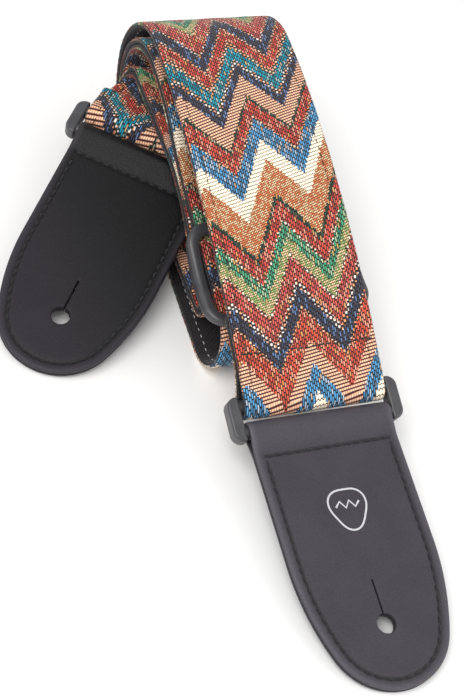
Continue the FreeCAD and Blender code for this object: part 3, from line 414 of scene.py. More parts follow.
def ribbon_material():
    m = Mat("jacquard_ribbon")
    vec, _ = m.attr("weave")
    U, S, RAW = m.split(vec)
    # stepped outlines: the pattern is read once per woven cell
    ci, _x = cell(m, U, 0.85)
    cj, _y = cell(m, S, 0.8)
    uc = m.math("MULTIPLY", m.math("ADD", ci, 0.5), 0.85)
    sc = m.math("MULTIPLY", m.math("ADD", cj, 0.5), 0.8)
    p = m.math("DIVIDE", m.math("SUBTRACT", uc, VALLEY), T_ZIG)
    k = m.math("FLOOR", p)
    f = m.math("SUBTRACT", p, k)
    rise = m.math("MULTIPLY", f, PEAK / RISE)
    fall = m.math("SUBTRACT", PEAK, m.math("MULTIPLY", m.math("SUBTRACT", f, RISE), (PEAK - DRIFT) / (1 - RISE)))
    z = m.math("ADD", m.math("MINIMUM", rise, fall), m.math("MULTIPLY", k, DRIFT))
    q = m.math("SUBTRACT", sc, z)
    t = m.math("DIVIDE", m.math("SUBTRACT", q, Q_LOW), REPEAT)
    t = m.math("SUBTRACT", t, m.math("FLOOR", t))
    n3 = (len(BANDS) + 2) // 3
    col = kind = None
    for j in range(3):
        part = BANDS[j * n3:(j + 1) * n3]
        stops = [((b[0] - Q_LOW) / REPEAT, (*lin(b[1])[:3], KIND[b[2]])) for b in part]
        if stops[0][0] > 0:
            stops = [(0.0, stops[0][1])] + stops
        c, a = m.ramp(t, stops)
        if col is None:
            col, kind = c, a
        else:
            w = m.math("GREATER_THAN", t, (part[0][0] - Q_LOW) / REPEAT)
            col, kind = m.mix(w, col, c), m.mixf(w, kind, a)
    # long floats along the strap, brick-laid, over a dark ground
    fi, fx = cell(m, U, 0.76)
    off = m.math("MULTIPLY", fi, 0.381966)
    fj, fy = cell(m, m.math("ADD", m.math("DIVIDE", S, 2.1), m.math("SUBTRACT", off, m.math("FLOOR", off))), 1.0)
    h1 = m.white(fi, fj)
    across = m.smooth(m.math("ABSOLUTE", fx), 0.15, 0.48, 1.0, 0.02)
    along = m.smooth(m.math("ABSOLUTE", fy), 0.30, 0.49, 1.0, 0.0)
    fl = m.math("MULTIPLY", across, along)
    # crosswise ribs
    ri, ry = cell(m, m.math("SUBTRACT", S, m.math("MULTIPLY", U, 0.13)), 1.12)
    rx_i, rx = cell(m, m.math("ADD", U, m.math("MULTIPLY", ri, 0.37)), 0.86)
    rib = m.math("MULTIPLY", m.smooth(m.math("ABSOLUTE", ry), 0.16, 0.44, 1.0, 0.0), m.smooth(m.math("ABSOLUTE", rx), 0.22, 0.52, 1.0, 0.45))
    h2 = m.white(rx_i, ri)
    # pin dots in the cream ground
    ei, ey = cell(m, m.math("SUBTRACT", S, m.math("MULTIPLY", U, 0.06)), 1.25)
    ex_i, ex = cell(m, m.math("ADD", U, m.math("MULTIPLY", ei, 0.62)), 1.24)
    dot = m.math("MULTIPLY", m.smooth(m.math("ABSOLUTE", ex), 0.16, 0.34, 1.0, 0.0), m.smooth(m.math("ABSOLUTE", m.math("SUBTRACT", m.math("ABSOLUTE", ey), 0.5)), 0.10, 0.28, 1.0, 0.0))
    # speckle
    si, sx = cell(m, m.math("ADD", U, m.math("MULTIPLY", S, 0.2)), 0.62)
    sj, sy = cell(m, m.math("SUBTRACT", S, m.math("MULTIPLY", U, 0.15)), 0.78)
    h3 = m.white(si, sj)
    bead = m.math("MULTIPLY", m.smooth(m.math("ABSOLUTE", sx), 0.22, 0.5, 1.0, 0.0), m.smooth(m.math("ABSOLUTE", sy), 0.22, 0.5, 1.0, 0.0))
    # outline beads sit on a wider grid
    bi, bx = cell(m, U, 1.2)
    bj, by = cell(m, m.math("ADD", S, m.math("MULTIPLY", bi, 0.8)), 1.6)
    bd = m.math("MULTIPLY", m.smooth(m.math("ABSOLUTE", bx), 0.22, 0.5, 1.0, 0.0), m.smooth(m.math("ABSOLUTE", by), 0.14, 0.42, 1.0, 0.0))
    h4 = m.white(m.math("ADD", fi, 31.0), fj)
    # dark: the ground between the floats, a dark yarn deepened with painted shade in the gaps
    dark = m.mix(0.86, col, lin((18, 14, 17)))
    # floats above 0.76 lifted towards cream and the rarest floats tinted gold are painted highlights (thread glints);
    # floats below 0.34 drop towards the dark ground at random
    vivid = m.mix(m.math("MULTIPLY", m.math("GREATER_THAN", h1, 0.76), 0.62), col, m.mix(0.55, col, lin((255, 226, 190))))
    vivid = m.mix(m.math("MULTIPLY", m.math("LESS_THAN", h1, 0.34), 0.50), vivid, dark)
    vivid = m.mix(m.math("MULTIPLY", m.math("GREATER_THAN", h4, 0.955), 0.70), vivid, lin((226, 168, 96)))
    c_float = m.mix(fl, dark, vivid)
    # the navy, rib, speckle and bead weaves likewise set their threads over a darker ground: partly the ground yarn,
    # partly painted shade in the gaps
    navy_hi = m.mix(m.math("GREATER_THAN", h1, 0.74), lin((60, 58, 74)), lin((92, 118, 160)))
    c_navy = m.mix(fl, lin((34, 32, 40)), navy_hi)
    c_rib = m.mix(rib, lin((112, 48, 42)), m.mix(m.math("MULTIPLY", h2, 0.5), lin((250, 186, 152)), lin((255, 224, 186))))
    c_cream = m.mix(dot, m.mix(m.math("MULTIPLY", h2, 0.3), col, lin((230, 206, 166))), lin((62, 52, 44)))
    c_speck = m.mix(bead, m.mix(0.62, col, lin((46, 32, 26))), m.mix(m.math("GREATER_THAN", h3, 0.52), col, lin((246, 208, 160))))
    c_bead = m.mix(bd, lin((44, 30, 34)), m.mix(m.math("GREATER_THAN", h4, 0.55), col, lin((222, 150, 104))))

    def pick(lo, hi):
        return m.math("MULTIPLY", m.math("GREATER_THAN", kind, lo), m.math("LESS_THAN", kind, hi))
    is_n, is_r, is_c, is_s, is_d = pick(0.2, 0.4), pick(0.4, 0.6), pick(0.6, 0.8), pick(0.8, 0.95), m.math("GREATER_THAN", kind, 0.95)
    c, h = c_float, fl
    for w, cc, hh in ((is_n, c_navy, fl), (is_r, c_rib, rib), (is_c, c_cream, m.math("SUBTRACT", 1.0, dot)), (is_s, c_speck, bead), (is_d, c_bead, bd)):
        c, h = m.mix(w, c, cc), m.mixf(w, h, hh)
    # brightness follows the weave's height: painted shade in the low spots, painted light on the raised threads; darker
    # selvedges, slow fading along the length
    lum = m.math("ADD", 0.30, m.math("MULTIPLY", h, 1.02))
    c = m.mix(1.0, c, m.join(lum, lum, lum), "MULTIPLY")
    edge = m.math("ADD", m.smooth(U, -0.1, 0.5, 1.0, 0.0), m.smooth(U, 49.5, 50.1, 0.0, 1.0))
    c = m.mix(m.math("MULTIPLY", edge, 0.45), c, lin((30, 26, 28)))
    big = m.noise(m.join(m.math("MULTIPLY", U, 0.1), m.math("MULTIPLY", S, 0.05)), 1.0, 3.0)
    c = m.mix(m.smooth(big, 0.35, 0.75, 0.0, 0.10), c, lin((60, 50, 50)))
    fuzz = m.noise(m.join(U, S, RAW), 2.4, 3.0, 0.7)
    m.set(Base_Color=c, Roughness=m.mixf(h, 0.86, 0.52), Specular_IOR_Level=0.35, Sheen_Weight=0.12, Sheen_Roughness=0.5)
    m.bump(m.math("ADD", h, m.math("MULTIPLY", fuzz, 0.25)), 0.00030, 0.75)
    return m.m


def webbing_material(name="black_webbing", tint=(30, 27, 29)):
    m = Mat(name)
    vec, _ = m.attr("weave")
    U, S, RAW = m.split(vec)
    # twill-like ribs running along the strap, crossed by picks
    wi, wx = cell(m, U, 0.9)
    off = m.math("MULTIPLY", wi, 0.5)
    wj, wy = cell(m, m.math("ADD", m.math("DIVIDE", RAW, 1.5), off), 1.0)
    tri = m.math("ABSOLUTE", wx)
    yarn = m.math("MULTIPLY", m.smooth(tri, 0.20, 0.5, 1.0, 0.0), m.smooth(m.math("ABSOLUTE", m.math("ADD", wy, m.math("MULTIPLY", wx, 0.35))), 0.25, 0.5, 1.0, 0.0))
    h = m.white(wi, wj)
    n = m.noise(m.join(m.math("MULTIPLY", U, 3.0), m.math("MULTIPLY", RAW, 0.8), 0.0), 1.6, 4.0, 0.65)
    hi = tuple(min(255, int(v * 1.35 + 8)) for v in tint)
    # the raised yarn is lifted towards a lighter copy of the tint: painted light on the yarn crowns, varied per yarn
    c = m.mix(m.math("MULTIPLY", yarn, m.math("ADD", 0.45, m.math("MULTIPLY", h, 0.55))), lin(tint), lin(hi))
    c = m.mix(m.smooth(n, 0.55, 0.8, 0.0, 0.30), c, lin((64, 60, 64)))
    m.set(Base_Color=c, Roughness=m.mixf(yarn, 0.95, 0.78), Specular_IOR_Level=0.3, Sheen_Weight=0.18, Sheen_Roughness=0.45)
    m.bump(m.math("ADD", yarn, m.math("MULTIPLY", n, 0.4)), 0.0003, 0.7)
    return m.m


def leather_material(name, base, worn, rough=0.50, painted_shade_slope=0.0, spec=0.42, relief_=0.55):
    m = Mat(name)
    vec, _ = m.attr("loc")
    _, edge = m.attr("edge")
    _, seam = m.attr("seam")
    grain = m.voronoi(vec, 1.9, "F1")
    crease = m.voronoi(vec, 0.85, "DISTANCE_TO_EDGE")
    fine = m.noise(vec, 4.5, 3.0, 0.6)
    slow = m.noise(vec, 0.06, 3.0, 0.5)
    c = m.mix(m.smooth(slow, 0.3, 0.7, 0.0, 1.0), lin(base), lin(tuple(v * 1.12 for v in base)))
    P_ = m.math("ABSOLUTE", m.split(vec)[1])
    c = m.mix(m.smooth(P_, 9.0, 15.5, 0.45, 0.0), c, lin(tuple(v * 1.45 for v in base)))
    if painted_shade_slope:
        # painted shade: darker towards the ring and towards one side, lighter towards the tip
        g = m.math("SUBTRACT", P_, m.math("MULTIPLY", m.split(vec)[0], painted_shade_slope))
        c = m.mix(m.smooth(g, 25.0, 100.0, 0.95, 0.0), c, lin(tuple(v * 0.28 for v in base)))
    c = m.mix(m.smooth(grain, 0.25, 0.62, 0.0, 0.28), c, lin(tuple(v * 0.72 for v in base)))
    c = m.mix(m.smooth(fine, 0.60, 0.78, 0.0, 0.30), c, lin(worn))
    c = m.mix(m.smooth(edge, 0.4, 2.6, 0.42, 0.0), c, lin(worn))
    c = m.mix(m.smooth(edge, -0.9, -0.05, 0.9, 0.0), c, lin(tuple(v * 0.55 for v in base)))
    # a dark band along each stitch line: the needle holes, widened with painted shade in the sunken stitch groove
    c = m.mix(m.smooth(seam, 0.25, 1.0, 0.72, 0.0), c, lin((12, 11, 13)))
    hgt = m.math("ADD", m.math("ADD", m.math("MULTIPLY", grain, -0.8), m.smooth(crease, 0.0, 0.07, 0.0, 0.45)), m.math("MULTIPLY", fine, 0.35))
    m.set(Base_Color=c, Roughness=m.mixf(m.smooth(fine, 0.3, 0.7), rough - 0.08, rough + 0.12), Specular_IOR_Level=spec)
    m.bump(hgt, 0.00022, relief_)
    return m.m


def plastic_material(name="moulded_plastic", base=(60, 59, 62)):
    m = Mat(name)
    v = m.object_mm()
    n1, n2 = m.noise(v, 3.2, 4.0, 0.65), m.noise(v, 0.16, 2.0)
    scr = m.noise(m.join(m.split(v)[0], m.math("MULTIPLY", m.split(v)[1], 0.12), m.math("MULTIPLY", m.split(v)[2], 0.3)), 5.0, 2.0, 0.7)
    c = m.mix(m.smooth(n2, 0.3, 0.7), lin(base), lin(tuple(x * 1.18 for x in base)))
    c = m.mix(m.smooth(scr, 0.66, 0.80, 0.0, 0.35), c, lin((112, 111, 114)))
    m.set(Base_Color=c, Roughness=m.mixf(n1, 0.26, 0.44), Specular_IOR_Level=0.55)
    m.bump(m.math("ADD", n1, m.math("MULTIPLY", scr, 0.5)), 0.00008, 0.3)
    return m.m


def thread_material(name, base, twist=True):
    m = Mat(name)
    v = m.object_mm()
    n = m.noise(v, 7.0, 3.0, 0.7)
    w = m.nt.nodes.new("ShaderNodeTexWave")
    w.bands_direction = "DIAGONAL"
    w.inputs["Scale"].default_value = 2.2
    w.inputs["Distortion"].default_value = 2.0
    m.put(w.inputs["Vector"], v)
    # lighter patches stand for glints on the thread: painted highlights; the diagonal bands darken the twist grooves:
    # painted shade
    c = m.mix(m.smooth(n, 0.35, 0.75), lin(base), lin(tuple(min(255, x * 1.5 + 10) for x in base)))
    c = m.mix(m.math("MULTIPLY", w.outputs["Fac"], 0.35), c, lin(tuple(x * 0.5 for x in base)))
    m.set(Base_Color=c, Roughness=0.6, Specular_IOR_Level=0.4, Sheen_Weight=0.1)
    m.bump(m.math("ADD", w.outputs["Fac"], n), 0.0001, 0.5)
    return m.m


def board_material():
    m = Mat("fibre_board")
    v = m.object_mm()
    n = m.noise(v, 2.2, 5.0, 0.7)
    f = m.noise(m.join(m.split(v)[0], m.split(v)[1], m.math("MULTIPLY", m.split(v)[2], 9.0)), 2.0, 2.0)
    c = m.mix(m.smooth(n, 0.3, 0.7), lin((26, 24, 26)), lin((52, 49, 52)))
    m.set(Base_Color=m.mix(m.smooth(f, 0.55, 0.8, 0.0, 0.4), c, lin((70, 66, 68))), Roughness=0.85)
    m.bump(m.math("ADD", n, f), 0.0001, 0.5)
    return m.m


RIBBON, WEB = ribbon_material(), webbing_material()
LEATHER_F = leather_material("grain_leather_front", (54, 51, 58), (96, 93, 102), 0.46)
# the rear end's leather is a darker copy of the front leather: painted shade, with a painted shade slope of 0.9 across
# it
LEATHER_B_SHADED = leather_material("grain_leather_rear", (37, 34, 40), (66, 63, 70), 0.40, 0.9, 0.24, 0.30)
PLASTIC, BOARD = plastic_material(), board_material()
THREAD_D = thread_material("thread_dark", (34, 32, 26))
THREAD_L = thread_material("thread_leather", (26, 25, 28))
# a darker copy of the leather thread: painted shade on the rear end's stitching
THREAD_B_SHADED = thread_material("thread_leather_rear", (13, 12, 14))
THREAD_W = thread_material("thread_bobbin", (196, 194, 190))
INK = thread_material("ink_grey", (196, 196, 202))


# ------------------------------------------------------------------ mesh helpers
def make(name, verts, faces, mat, attrs=None, smooth=True, sharp=None):
    me = bpy.data.meshes.new(name)
    me.from_pydata([tuple(v) for v in np.asarray(verts, float) * 0.001], [], [tuple(int(i) for i in f) for f in faces])
    me.validate(clean_customdata=False)
    for k, v in (attrs or {}).items():
        v = np.asarray(v, np.float32)
        a = me.attributes.new(k, "FLOAT_VECTOR" if v.ndim == 2 else "FLOAT", "POINT")
        a.data.foreach_set("vector" if v.ndim == 2 else "value", v.ravel())
    me.materials.append(mat)
    if smooth:
        me.polygons.foreach_set("use_smooth", [True] * len(me.polygons))
    bm = bmesh.new()
    bm.from_mesh(me)
    bmesh.ops.recalc_face_normals(bm, faces=bm.faces)
    bm.to_mesh(me)
    bm.free()
    if sharp:
        me.set_sharp_from_angle(angle=math.radians(sharp))
    me.update()
    o = bpy.data.objects.new(name, me)
    bpy.context.scene.collection.objects.link(o)
    return o


ROWS, SV, S_AT = dense(stations, 1.25, 6.0)
S_FRONT = S_AT[len(join(tail_pts, wrap)) - 1]
RAW = SV - S_FRONT


def at(s):
    """Ruling at distance s from the front ring: left point, right point, normal, run direction."""
    x = s + S_FRONT
    i = int(np.clip(np.searchsorted(SV, x) - 1, 0, len(SV) - 2))
    t = (x - SV[i]) / max(SV[i + 1] - SV[i], 1e-6)
    l = ROWS[i][0] * (1 - t) + ROWS[i + 1][0] * t
    r = ROWS[i][1] * (1 - t) + ROWS[i + 1][1] * t
    n = unit(ROWS[i][2] * (1 - t) + ROWS[i + 1][2] * t)
    d = unit((ROWS[i + 1][0] + ROWS[i + 1][1]) - (ROWS[i][0] + ROWS[i][1]))
    return l, r, n, d


def gauss(x, c, w):
    return math.exp(-((x - c) / w) ** 2)


U_TOP = [0.12, 0.35, 0.9, 1.7, 2.5, 3.0, 3.4, 3.8, 4.4, 5.6, 7.5, 10, 13, 16, 19, 22, 25]
U_TOP = U_TOP + [50 - u for u in U_TOP[:-1][::-1]]


def relief(u, s, kind):
    """Height added to a face: seams pull it down, the cloth is never quite flat."""
    h = -0.16 * (gauss(u, 3.4, 0.55) + gauss(u, 46.6, 0.55)) if kind == "ribbon" else 0.0
    if kind == "ribbon" and abs(s - 16.2) < 3:
        h -= 0.22 * gauss(s, 16.2, 0.8)
    h += 0.05 * math.sin(s * 0.21 + u * 0.16) * math.sin(u * 0.31 + 1.3) + 0.03 * math.sin(s * 0.53 - u * 0.4)
    return h


def lap(s):
    """The repeat creeps along the part that is coiled out of sight."""
    t = min(1.0, max(0.0, (s - LAP_S[0]) / (LAP_S[1] - LAP_S[0])))
    return LAP * t * t * (3 - 2 * t)


def band_mesh(rows, raw, kind):
    """Closed cross-section swept along the rulings."""
    if kind == "ribbon":
        top = [(u, 2.0) for u in U_TOP]
        top[0], top[-1] = (0.10, 1.72), (49.90, 1.72)
        top[1], top[-2] = (0.30, 1.90), (49.70, 1.90)
        # the ribbon's selvedges turn down over the webbing's edges
        top[0], top[-1] = (-0.14, 1.62), (50.14, 1.62)
        prof = [(50.15, 0.95), (50.02, 0.92), (50.02, 1.30), (49.8, 1.33), (25.0, 1.30), (0.2, 1.33), (-0.02, 1.30), (-0.02, 0.92), (-0.15, 0.95)] + top
    else:
        lo = [0.22, 0.8, 2.2, 3.4, 5.0, 10, 17.5, 25]
        lo = lo + [50 - u for u in lo[:-1][::-1]]
        prof = [(0.0, 0.42), (0.0, 0.90), (0.2, 1.26), (25.0, 1.29), (49.8, 1.26), (50.0, 0.90), (50.0, 0.42)] + [(u, 0.05 if u in (0.22, 50 - 0.22) else 0.0) for u in lo[::-1]]
    n = len(prof)
    verts, weave = [], []
    for (l, r, nn), s in zip(rows, raw):
        w = unit(r - l)
        k = np.linalg.norm(r - l) / 50.0
        sk = np.interp(s, *SKEW)
        for u, t in prof:
            uu = u
            if kind == "ribbon" and t < 1.4:
                pass
            elif u <= 0.3:
                uu = u - 0.07 * math.sin(s * 3.3) - 0.05 * math.sin(s * 0.37)
            elif u >= 49.7:
                uu = u + 0.07 * math.sin(s * 3.1) + 0.05 * math.sin(s * 0.33)
            tt = t
            if kind == "ribbon" and t >= 1.9 and 0.4 < u < 49.6:
                tt = t + relief(u, s, kind)
            verts.append(l + w * (uu * k) + nn * tt + MOVE)
            weave.append((u, s - sk * (u - VALLEY) + lap(s), s))
    faces = []
    m = len(rows)
    for i in range(m - 1):
        for j in range(n):
            a, b = i * n + j, i * n + (j + 1) % n
            faces.append((a, b, b + n, a + n))
    faces.append(tuple(range(n - 1, -1, -1)))
    faces.append(tuple(range((m - 1) * n, m * n)))
    return np.array(verts), faces, np.array(weave)


# the return pass leaves the rigid coil here and goes on as its own piece
SPLIT = float(SV[-1]) - S_FRONT - 36.0
main = [i for i in range(len(SV)) if RAW[i] <= SPLIT + 1e-6]
tail = [i for i in range(len(SV)) if RAW[i] >= SPLIT - 1.3]
rows_main, raw_main = [ROWS[i] for i in main], RAW[main]
v, f, wv = band_mesh(rows_main, raw_main, "web")
strap_web = make("strap_web", v, f, WEB, {"weave": wv})
v, f, wv = band_mesh(rows_main, raw_main, "ribbon")
strap_ribbon = make("strap_ribbon", v, f, RIBBON, {"weave": wv})

# sewn loop round the slider's middle bar, as a continuation of the return pass (web only)
MB, RM = (-1.85 - 4.45) / 2, (4.45 - 1.85) / 2 + 0.15 + TW
loop_sq = [(20.0, -GAP), (12.0, -GAP), (4.0, -GAP)]
loop_sq += [(-1.2 + RM * math.cos(math.radians(90 + 15 * k)), MB + RM * math.sin(math.radians(90 + 15 * k))) for k in range(13)]
loop_sq += [(1.5, MB - RM)]
END_Q = -GAP - 2 * TW - 0.1
loop_sq += hermite((2.5, MB - RM), 0.0, (9.5, END_Q), 0.0, 6, 0.9) + [(15.0, END_Q), (21.5, END_Q)]
loop_st = []
for i, (s, q) in enumerate(loop_sq):
    y, z = lean_pt(s, q)
    a, b = (loop_sq[i - 1] if i else (27.0, -GAP)), loop_sq[min(len(loop_sq) - 1, i + 1)]
    d = math.hypot(b[0] - a[0], b[1] - a[1])
    ns, nq = -(b[1] - a[1]) / d, (b[0] - a[0]) / d
    loop_st.append([P(3.0 - W2, y, z), P(3.0 + W2, y, z), P(0, ns * LC - nq * LS, ns * LS + nq * LC)])
rows_tail = [ROWS[i] for i in tail]
raw_tail = RAW[tail]
tail_all, tail_s, _ = dense([rows_tail[0], rows_tail[-1]] + loop_st, 1.25, 7.0)
v, f, wv = band_mesh(tail_all, tail_s + raw_tail[0], "web")
tail_web = make("tail_web", v, f, WEB, {"weave": wv})
v, f, wv = band_mesh(rows_tail, raw_tail, "ribbon")
tail_ribbon = make("tail_ribbon", v, f, RIBBON, {"weave": wv})


# ------------------------------------------------------------------ stitches
def stitch_set(items, mat, name, sides=6):
    """items: (centre, run, normal, length, width, height) in mm."""
    verts, faces = [], []
    for c, d, n, L, W, H in items:
        d, n = unit(d), unit(n)
        x = unit(np.cross(d, n))
        base = len(verts)
        steps = [(-0.5, 0.0, -0.55), (-0.40, 0.72, -0.1), (-0.15, 1.0, 0.18), (0.15, 1.0, 0.18), (0.40, 0.72, -0.1), (0.5, 0.0, -0.55)]
        verts.append(c + d * (steps[0][0] * L) + n * (steps[0][2] * H))
        for a, sc, up_ in steps[1:-1]:
            for k in range(sides):
                th = 2 * math.pi * k / sides
                verts.append(c + d * (a * L) + x * (math.cos(th) * W / 2 * sc) + n * (math.sin(th) * H * 0.62 * sc + up_ * H))
        verts.append(c + d * (steps[-1][0] * L) + n * (steps[-1][2] * H))
        for k in range(sides):
            k2 = (k + 1) % sides
            faces.append((base, base + 1 + k2, base + 1 + k))
            for r_ in range(3):
                a, b = base + 1 + r_ * sides + k, base + 1 + r_ * sides + k2
                faces.append((a, b, b + sides, a + sides))
            faces.append((base + 1 + 3 * sides + k, base + 1 + 3 * sides + k2, base + 1 + 4 * sides))
    return make(name, np.array(verts) + MOVE, faces, mat)


def edge_items(u, t, s0, s1, pitch, L, W, H, flip=False, shift=0.0):
    out = []
    s = s0 + shift
    while s < s1:
        l, r, n, d = at(s)
        w = unit(r - l)
        k = np.linalg.norm(r - l) / 50.0
        wob = 0.06 * math.sin(s * 1.7) + random.uniform(-0.04, 0.04)
        nn = -n if flip else n
        out.append((l + w * ((u + wob) * k) + n * t, d + w * random.uniform(-0.03, 0.03), nn, L * random.uniform(0.9, 1.08), W, H))
        s += pitch
    return out


S_START, S_END = float(RAW[0]) + 1.5, SPLIT - 1.0
seam_left = stitch_set(edge_items(3.4, 1.86, S_START, S_END, 2.9, 2.45, 0.34, 0.17), THREAD_D, "edge_stitches_left")
seam_right = stitch_set(edge_items(46.6, 1.86, S_START, S_END, 2.9, 2.45, 0.34, 0.17), THREAD_D, "edge_stitches_right")
bob = edge_items(3.4, -0.02, S_START, S_END, 2.9, 1.5, 0.36, 0.12, True, 1.45) + edge_items(46.6, -0.02, S_START, S_END, 2.9, 1.5, 0.36, 0.12, True, 1.45)
bobbin = stitch_set(bob, THREAD_W, "bobbin_stitches")
tail_items = [x for u in (3.4, 46.6) for x in edge_items(u, 1.86, S_END + 1.9, float(RAW[-1]) - 1.0, 2.9, 2.45, 0.34, 0.17)]
tail_stitches = stitch_set(tail_items, THREAD_D, "tail_stitches")
# anchor seam across the front run
items = []
for i in range(19):
    u = 2.2 + i * 45.6 / 18.0
    s = 16.2 + 0.25 * math.sin(u * 0.45) + random.uniform(-0.08, 0.08)
    l, r, n, d = at(s)
    items.append((l + unit(r - l) * u + n * 1.86, unit(r - l) + d * random.uniform(-0.05, 0.05), n, 2.5, 0.62, 0.24))
anchor = stitch_set(items, THREAD_D, "anchor_stitches")
under = []
for i in range(17):
    u = 3.0 + i * 44.0 / 16.0
    l, r, n, d = at(-29.0 + 10.5 + 0.0)
    under.append((l + unit(r - l) * u + n * 2.02, unit(r - l), n, 2.0, 0.5, 0.2))
# two rows that close the loop on the slider
items = []
for s in (12.5, 18.5):
    y, z = lean_pt(s, END_Q - 0.02)
    for i in range(15):
        x = 3.0 - 22.0 + (i + 0.5) * 44.0 / 15
        items.append((P(x, y, z), P(1, 0.02 * random.uniform(-1, 1), 0), P(0, LS, -LC), 2.4, 0.6, 0.26))
slider_stitches = stitch_set(items, THREAD_D, "slider_stitches")


# ------------------------------------------------------------------ leather ends
HW, YS, CY, RT = 25.4, 46.0, 70.0, 21.0
RBIG = (HW * HW + (CY - YS) ** 2 - RT * RT) / (2 * (HW - RT))
CX = HW - RBIG
HOLE_R, SLIT, SLIT_END = 3.25, 0.27, 55.6


def tangent(px, pz, r_):
    a_ = math.atan2(pz, px) + math.acos(r_ / math.hypot(px, pz))
    return r_ * math.cos(a_), r_ * math.sin(a_)


OT, IT = tangent(8.4, 1.7, 3.6), tangent(7.4, 0.5, 2.4)
AO, AI = math.pi - math.atan2(OT[1], OT[0]), math.pi - math.atan2(IT[1], IT[0])
ARC_L, LINE_L = 3.6 * AO, math.hypot(8.4 - OT[0], OT[1] - 1.7)
OFF_P = ARC_L + LINE_L - 8.4


def edge_distance(x, s):
    x = abs(x)
    if s <= YS:
        return HW - x
    if (s - YS) * (-CX) < (x - CX) * (CY - YS):
        return RBIG - math.hypot(x - CX, s - YS)
    return RT - math.hypot(x, s - CY)


def fold_point(p, inner):
    """(s, z, ns, nz) of the folded leather's face at distance p from the middle of its loop."""
    if p <= ARC_L:
        th = (AI if inner else AO) * p / ARC_L
        r_ = 2.4 if inner else 3.6
        return -r_ * math.cos(th), r_ * math.sin(th), -math.cos(th), math.sin(th)
    if p <= ARC_L + LINE_L:
        t = (p - ARC_L) / LINE_L
        a, b = (IT, (7.4, 0.5)) if inner else (OT, (8.4, 1.7))
        d = math.hypot(b[0] - a[0], b[1] - a[1])
        return a[0] + (b[0] - a[0]) * t, a[1] + (b[1] - a[1]) * t, (a[1] - b[1]) / d, (b[0] - a[0]) / d
    s = p - OFF_P
    if inner:
        return s - max(0.0, 1.0 - (s - 8.4) / 3.0), 0.5, 0.0, 1.0
    return s, 1.7, 0.0, 1.0


def chain(inset, ps):
    """Right-hand half of the outline at that inset, from the loop to the tip, as (x, p)."""
    out = [(HW - inset, p) for p in ps]
    k = math.hypot(CX, CY - YS)
    a1 = math.atan2((RT - inset) * (CY - YS) / k + CY - YS, (RT - inset) * (-CX) / k - CX)
    n = 18
    for i in range(1, n + 1):
        a = a1 * i / n
        out.append((CX + (RBIG - inset) * math.cos(a), YS + (RBIG - inset) * math.sin(a) + OFF_P))
    b0 = math.atan2(CY - YS, -CX)
    n = 26
    for i in range(1, n + 1):
        b = b0 + (math.pi / 2 - b0) * i / n
        out.append(((RT - inset) * math.cos(b), CY + (RT - inset) * math.sin(b) + OFF_P))
    return out


def hole_chain(r_, w_, end):
    a = math.asin(min(0.98, w_ / r_))
    n = 34
    pts = []
    for i in range(n + 1):
        b = a + (2 * math.pi - 2 * a) * i / n
        pts.append((r_ * math.sin(b), CY - r_ * math.cos(b) + OFF_P))
    top = [(-w_, end + (CY - r_ - end) * k / 7.0 + OFF_P) for k in range(6, -1, -1)]
    pts += top + [(0.0, end - w_ * 0.6 + OFF_P)] + [(-x, p) for x, p in top[::-1]]
    return pts


def leather_sheet():
    row_ps = [ARC_L * i / 15 for i in range(16)] + [ARC_L + LINE_L * i / 5 for i in range(1, 6)]
    while row_ps[-1] < YS + OFF_P - 1.2:
        row_ps.append(row_ps[-1] + (0.7 if row_ps[-1] - OFF_P < 12 else 1.6))
    row_ps.append(YS + OFF_P)
    verts, edges = [], []
    insets = [0.0, 0.14, 0.34, 0.7, 1.3, 2.4, 2.8, 3.1, 3.35, 3.6, 3.9, 4.4]
    for d in insets:
        ch = chain(d, row_ps)
        full = ch + [(-x, p) for x, p in ch[::-1][1:]]
        b = len(verts)
        verts += full
        edges += [(b + i, b + i + 1) for i in range(len(full) - 1)]
    b = len(verts)
    ends = sorted([v for v in verts if v[1] == 0.0])
    hole_sets = []
    for r_, w_ in ((HOLE_R, SLIT), (HOLE_R + 0.14, SLIT + 0.14), (HOLE_R + 0.35, SLIT + 0.35), (HOLE_R + 0.9, SLIT + 0.9)):
        hc = hole_chain(r_, w_, SLIT_END - (w_ - SLIT))
        b = len(verts)
        verts += hc
        edges += [(b + i, b + (i + 1) % len(hc)) for i in range(len(hc))]
        hole_sets.append(hc)
    xs = [-20 + 2.0 * i for i in range(21)]
    for p in row_ps:
        verts += [(x, p) for x in xs]
    p = YS + OFF_P + 1.8
    while p < 91 + OFF_P:
        for i in range(-12, 13):
            x = i * 1.8 + (0.9 if int(p / 1.8) % 2 else 0.0)
            s = p - OFF_P
            far = math.hypot(x, s - CY) > HOLE_R + 1.5 and not (abs(x) < SLIT + 1.4 and SLIT_END - 1.6 < s < CY)
            if edge_distance(x, s) > 5.0 and far:
                verts.append((x, p))
        p += 1.8
    co, _e, tri, _a, _b, _c = delaunay_2d_cdt([Vector(v) for v in verts], edges, [], 0, 1e-4)
    co = [(v.x, v.y) for v in co]

    def in_hole(x, s):
        return math.hypot(x, s - CY) < HOLE_R - 0.01 or (abs(x) < SLIT - 0.005 and SLIT_END - 0.15 < s < CY)
    keep = []
    for t in tri:
        cx = sum(co[i][0] for i in t) / 3
        s = sum(co[i][1] for i in t) / 3 - OFF_P
        if in_hole(cx, s) or edge_distance(cx, s) < 1e-4 or s > 91:
            continue
        if abs((co[t[1]][0] - co[t[0]][0]) * (co[t[2]][1] - co[t[0]][1]) - (co[t[2]][0] - co[t[0]][0]) * (co[t[1]][1] - co[t[0]][1])) < 1e-5:
            continue
        keep.append(tuple(t))
    return co, keep


SHEET = leather_sheet()


